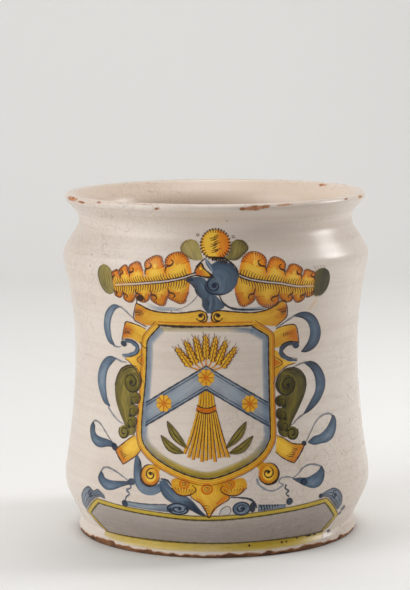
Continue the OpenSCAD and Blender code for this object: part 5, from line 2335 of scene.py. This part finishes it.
def painted_motifs() -> list[Motif]:
    """List every painted motif of the jar.

    Returns:
        The motifs, from the lowest coat to the highest.
    """
    left_rib = ((-11.5, 178), (-16, 176.6), (-20, 175.2), (-30, 173), (-40, 171.7), (-50, 170.4),
                (-58, 169.6), (-66, 168.6))
    left_upper = (Lobe(-60.5, -67, (-63, 178.6)), Lobe(-53.5, -60.5, (-56.5, 181.8)),
                  Lobe(-43.5, -53.5, (-48.5, 184.2)), Lobe(-29.5, -42.5, (-36, 188.2)),
                  Lobe(-14.5, -29.5, (-23, 190.5)))
    left_lower = (Lobe(-60, -67, (-64, 160.8)), Lobe(-50.5, -60, (-56, 158.3)),
                  Lobe(-40, -50.5, (-46, 159)), Lobe(-28.5, -40, (-34, 157.4)),
                  Lobe(-15.5, -28.5, (-21.5, 159.2)))
    right_rib = ((13.5, 177), (20, 174.3), (30, 172.2), (40, 170.7), (50, 168.3), (58, 167.6), (64, 167.4))
    right_upper = (Lobe(53, 63, (57, 178.3)), Lobe(41.5, 53, (47, 182.3)), Lobe(29.5, 41.5, (36, 187)),
                   Lobe(14, 29.5, (23, 190.5)))
    right_lower = (Lobe(57, 64, (60, 160.5)), Lobe(48, 57, (53, 157.8)), Lobe(38.5, 48, (45, 158.5)),
                   Lobe(23, 38.5, (33, 155.8)), Lobe(10.8, 23, (17, 157.3)))
    left_scroll = GreenScroll(
        "left_green_scroll", "olive_paint",
        ((-54, 118), (-58, 118.8), (-62, 118), (-66.5, 115.5), (-70, 110.5), (-72, 105), (-71.8, 99),
         (-70, 93.5), (-67, 88), (-64, 83.5), (-61.6, 79), (-60, 74.4)),
        ((-53.5, 117), (-51, 114), (-50, 110.5), (-50.5, 106.5), (-52.8, 103), (-53, 101.6), (-51.2, 98.4),
         (-55.2, 94.4), (-52.8, 90.5), (-55, 85.6), (-53.4, 81.6), (-53.2, 78), (-55, 75.6)),
        (-57.6, 108.4), ((-54.2, 98.6), (-55.4, 91), (-56.4, 84)), (-62.6, 76.8), -1, 0.5)
    right_scroll = GreenScroll(
        "right_green_scroll", "olive_paint",
        ((44, 116.4), (48, 117.2), (53, 116.8), (57.4, 114.4), (60.8, 110), (61.6, 104.6), (60, 99.4),
         (57, 94.6), (53.6, 89.4), (50, 84.4), (47.8, 79.5), (47.2, 74)),
        ((42.6, 115), (40, 112), (38.6, 108.4), (39, 104.6), (41, 101.8), (41.4, 100.6), (38.4, 97.4),
         (42.2, 93.4), (38.2, 88.4), (41, 83.6), (39, 80), (39.6, 77), (42, 75)),
        (46.8, 107), ((41.6, 97.4), (41.6, 89.6), (42.4, 82.6)), (49, 76.8), 1, 0.72)
    left_leaves = BlueLeaves(
        "left_blue_leaves", "blue_paint",
        (BlueLeaf(((-62, 154.6), (-66, 156), (-70, 156.2), (-75, 153.5), (-79, 149), (-81.3, 143),
                   (-81.2, 138), (-79.5, 133.5), (-76.5, 130.5), (-72, 129.4)),
                  ((-62.4, 154.2), (-65.5, 154), (-69, 152), (-72.5, 147.5), (-74.3, 143), (-74.6, 138.5),
                   (-74, 134.5), (-72.2, 131.5), (-71, 129.8)),
                  (((-63.5, 154.8), (-60, 152.5), (-56.5, 149.8), (-54, 148.2)),
                   ((-73, 129.6), (-69, 129.2), (-66, 129.8)))),
         BlueLeaf(((-70.6, 122), (-75, 123), (-80, 122), (-85.5, 118), (-89, 112.5), (-90.2, 107),
                   (-89, 101.5), (-86, 96.5), (-82, 92.3), (-76.5, 90.6)),
                  ((-70.4, 121.4), (-74, 118.5), (-78, 114.5), (-80, 110), (-80.5, 105), (-80, 100),
                   (-78.5, 95.5), (-75.5, 91.4)),
                  (((-71.5, 121.9), (-66, 120.4), (-62, 120.2)),
                   ((-78, 90.6), (-73, 86.5), (-68, 83.2), (-63.5, 81.5)))),
         BlueLeaf(((-69, 69), (-76, 70.6), (-82, 71), (-87.5, 71.8), (-90, 74), (-90.5, 77), (-93, 79.4)),
                  ((-69, 66), (-76, 65.8), (-82, 64.3), (-88, 64.6), (-93.5, 67.5), (-96.5, 72.5),
                   (-96.3, 76.5), (-94, 79.4)),
                  (((-93.5, 79.3), (-90, 80.2), (-85, 79), (-80, 75.5), (-75, 71.5), (-71, 68.6)),),
                  ((-69.6, 66.6), 3), 0.2),
         BlueLeaf(((-56, 47.4), (-63, 46.6), (-70, 46), (-75.5, 46.8), (-77.5, 49), (-80, 50.6)),
                  ((-55.4, 45), (-62, 42.6), (-68, 40), (-74, 39.3), (-79, 41.5), (-82.3, 45), (-81.8, 48),
                   (-80.4, 50.4)),
                  (((-80, 50.3), (-77.5, 52.6), (-73, 53.2), (-67, 51.8), (-61, 49.4), (-56.5, 47.2)),),
                  None, 0.15)),
        0.46, ((-55.4, 45.4), (-54.4, 43.4), (-57.4, 41.4), (-55.2, 39.4), (-57.6, 37.2), (-58.4, 34.6)),
        (-59, 32.8))
    right_leaves = BlueLeaves(
        "right_blue_leaves", "blue_paint",
        (BlueLeaf(((50, 149.8), (55, 151.6), (61, 151.4), (67, 148.6), (72, 143), (74.2, 137), (73, 131.5),
                   (68.5, 127.5), (62.5, 125.6), (57.6, 126)),
                  ((50.4, 149), (57, 147.3), (61.5, 144.3), (63.8, 140), (63.8, 135.5), (62.2, 131.8),
                   (60, 129.5), (57.2, 126.8)),
                  (((52, 149.9), (46, 147), (41, 144), (38.8, 142.5)),)),
         BlueLeaf(((60, 119.6), (65, 120.2), (71, 118), (76, 113), (78.8, 107), (78, 101), (74, 95.5),
                   (68, 91), (62, 88), (57.8, 87)),
                  ((60.2, 118.6), (65.5, 114.5), (68.5, 109.5), (69.2, 104.5), (68.2, 100), (65, 96),
                   (61.5, 92), (57.8, 87.8)),
                  (((61.5, 119.6), (56, 118.8), (51.5, 117.5)),
                   ((59, 87.8), (54, 85.5), (50.5, 82.8), (48.5, 81.5)))),
         BlueLeaf(((60, 70.4), (65, 73), (70, 73.6), (75, 75.5), (79.5, 78.5), (82.3, 81.5), (83.4, 83.6)),
                  ((60.2, 69.4), (65, 67.4), (71, 67.5), (77, 67.6), (83, 69.8), (87, 74.5), (88.2, 79.5),
                   (86.5, 83), (84, 84)),
                  (((84, 83.6), (80, 85.2), (74, 84.8), (68.5, 82), (64, 77), (60, 71.8), (58, 69.6)),),
                  ((57.2, 69.6), 2.2), -0.2),
         BlueLeaf(((46.5, 49.3), (52, 49.3), (57, 48.8), (62, 50), (66.5, 51.8), (69, 54.4)),
                  ((46.8, 48.6), (51, 45.8), (56, 43), (61, 41.3), (66, 41.8), (70, 45), (71.8, 50),
                   (70.5, 53.4), (69.2, 54.6)),
                  (((68.5, 54), (65, 55.4), (60, 56.2), (55, 54.8), (51, 51.6), (47, 49.2)),),
                  ((54.6, 46.4), 3), -0.15)),
        0.74, ((42.4, 46), (41.4, 43.8), (43.6, 42), (41.8, 40.2), (43.8, 38.4)), (44, 35.4))
    return [CartoucheFrame("cartouche_frame", "yellow_paint"), StrapEnds("strap_ends", "yellow_paint"),
            BlueHooks("blue_hooks", "blue_paint"), BlueRibbon("blue_ribbon", "blue_paint"),
            FrameVolutes("frame_volutes", "orange_paint"), PendantShells("pendant_shells", "orange_paint"),
            ShieldChevron("shield_chevron", "blue_paint"), ChevronStars("chevron_stars", "orange_paint"),
            WheatSheaf("wheat_sheaf", "yellow_paint"), ShieldLeaves("shield_leaves", "olive_paint"),
            Helmet("helmet", "blue_paint"), PlumeTips("plume_tips", "olive_paint"),
            CrestLeaves("crest_leaves", "olive_paint"),
            Plume("left_plume", "orange_paint", left_rib, left_upper, left_lower, 1),
            Plume("right_plume", "orange_paint", right_rib, right_upper, right_lower, 0),
            CrestFruit("crest_fruit", "orange_paint"), left_scroll, right_scroll, left_leaves, right_leaves,
            LabelRolls("label_rolls", "blue_paint"), LabelBorder("label_border", "border_paint")]


# Studio


@dataclass(frozen=True)
class Softbox:
    """A large soft lamp that faces a point."""

    name: str
    place: Colour
    size: float
    watts: float
    aim: Colour = (0, 0, 0.11)

    def build(self) -> None:
        """Hang the lamp."""
        lamp = bpy.data.lights.new(self.name, "AREA")
        lamp.shape = "DISK"
        lamp.size = self.size
        lamp.energy = self.watts
        thing = bpy.data.objects.new(self.name, lamp)
        thing.location = self.place
        thing.rotation_euler = (Vector(self.aim) - Vector(self.place)).to_track_quat("-Z", "Y").to_euler()
        bpy.context.scene.collection.objects.link(thing)


@dataclass(frozen=True)
class Studio:
    """Floor with a curved backdrop, lamps, world light and the camera of the photograph."""

    floor_tone: Colour = from_screen(232, 231, 229)
    sky_tone: Colour = from_screen(236, 235, 233)
    sky_level: float = 0.29
    half_width: float = 3
    front: float = -3
    back: float = 1.3
    bend: float = 0.7
    bend_steps: int = 25
    wall_top: float = 2.6
    floor_rough: float = 0.75
    floor_gloss: float = 0.2
    lamps: Sequence[Softbox] = (
        Softbox("key_box", (-1.6, -0.75, 1), 1.7, 25), Softbox("side_box", (1.1, 0.24, 0.7), 0.46, 7.2),
        Softbox("top_box", (0.1, -0.1, 1.5), 0.8, 3.6),
        Softbox("wall_box", (0, 0.5, 2.1), 1.2, 16, (0, 2, 0.7)))
    camera_place: Colour = (0, -1.45, 0.345)
    camera_aim: Colour = (0, 0, 0.152)
    roll: float = 0.4
    lens: float = 137.8
    shift: float = -0.0185

    def build(self) -> None:
        """Set up everything round the jar."""
        self._floor()
        for lamp in self.lamps:
            lamp.build()
        self._world()
        self._camera()
        bpy.context.scene.view_settings.view_transform = "Standard"

    def _floor(self) -> None:
        """Lay the floor and bend it up into the backdrop."""
        turn = np.linspace(0, math.pi / 2, self.bend_steps)
        y = np.concatenate([[self.front], self.back + self.bend * np.sin(turn), [self.back + self.bend]])
        z = np.concatenate([[0], self.bend * (1 - np.cos(turn)), [self.wall_top]])
        sides = (-self.half_width, self.half_width)
        mesh = Mesh()
        mesh.add_points(np.array([(side, *row) for row in zip(y, z) for side in sides]))
        mesh.add_faces(strip_faces(len(y), 2, 0))
        tone = {"Base Color": (*self.floor_tone, 1), "Roughness": self.floor_rough,
                "Specular IOR Level": self.floor_gloss}
        mesh.piece("studio_floor", [Shader("studio_floor").surface(tone)])

    def _world(self) -> None:
        """Light the room evenly and pale."""
        world = bpy.data.worlds.new("studio_world")
        world.use_nodes = True
        bpy.context.scene.world = world
        ground = world.node_tree.nodes["Background"]
        ground.inputs["Color"].default_value = (*self.sky_tone, 1)
        ground.inputs["Strength"].default_value = self.sky_level

    def _camera(self) -> None:
        """Place the camera where the photograph was taken from."""
        lens = bpy.data.cameras.new("photo_camera")
        lens.lens = self.lens
        lens.shift_x = self.shift
        thing = bpy.data.objects.new("photo_camera", lens)
        place, aim = Vector(self.camera_place), Vector(self.camera_aim)
        look = (aim - place).to_track_quat("-Z", "Y").to_matrix().to_4x4()
        tilt = Matrix.Rotation(math.radians(-self.roll), 4, "Z")
        thing.matrix_world = Matrix.Translation(place) @ look @ tilt
        bpy.context.scene.collection.objects.link(thing)
        bpy.context.scene.camera = thing


def paint_jar(surface: JarSurface, glaze: TinGlaze) -> None:
    """Paint every motif, and lay all strokes from the lowest to the highest.

    Args:
        surface: Wall that is painted.
        glaze: Glaze on the wall.
    """
    paints = {pigment: look.material(pigment.value + "_pigment", glaze) for pigment, look in LOOKS.items()}
    motifs = painted_motifs()
    for order, motif in enumerate(motifs):
        motif.order = order
        motif.paint()
    canvas = Canvas()
    waiting = [(motif, stroke) for motif in motifs for stroke in motif.strokes]
    for motif, stroke in sorted(waiting, key=lambda pair: pair[1].lift):
        motif.lay(stroke, surface, canvas)
    for motif in motifs:
        motif.build(paints)


def main() -> None:
    """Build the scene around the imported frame."""
    logging.basicConfig(level=logging.INFO)
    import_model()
    surface, glaze = JarSurface(JarSizes()), TinGlaze()
    white = glaze.material()
    pot = Pot(surface)
    pot.clay(BareClay().material())
    pot.glaze_outside(white)
    pot.glaze_inside(white)
    paint_jar(surface, glaze)
    Studio().build()


if __name__ == "__main__":
    main()
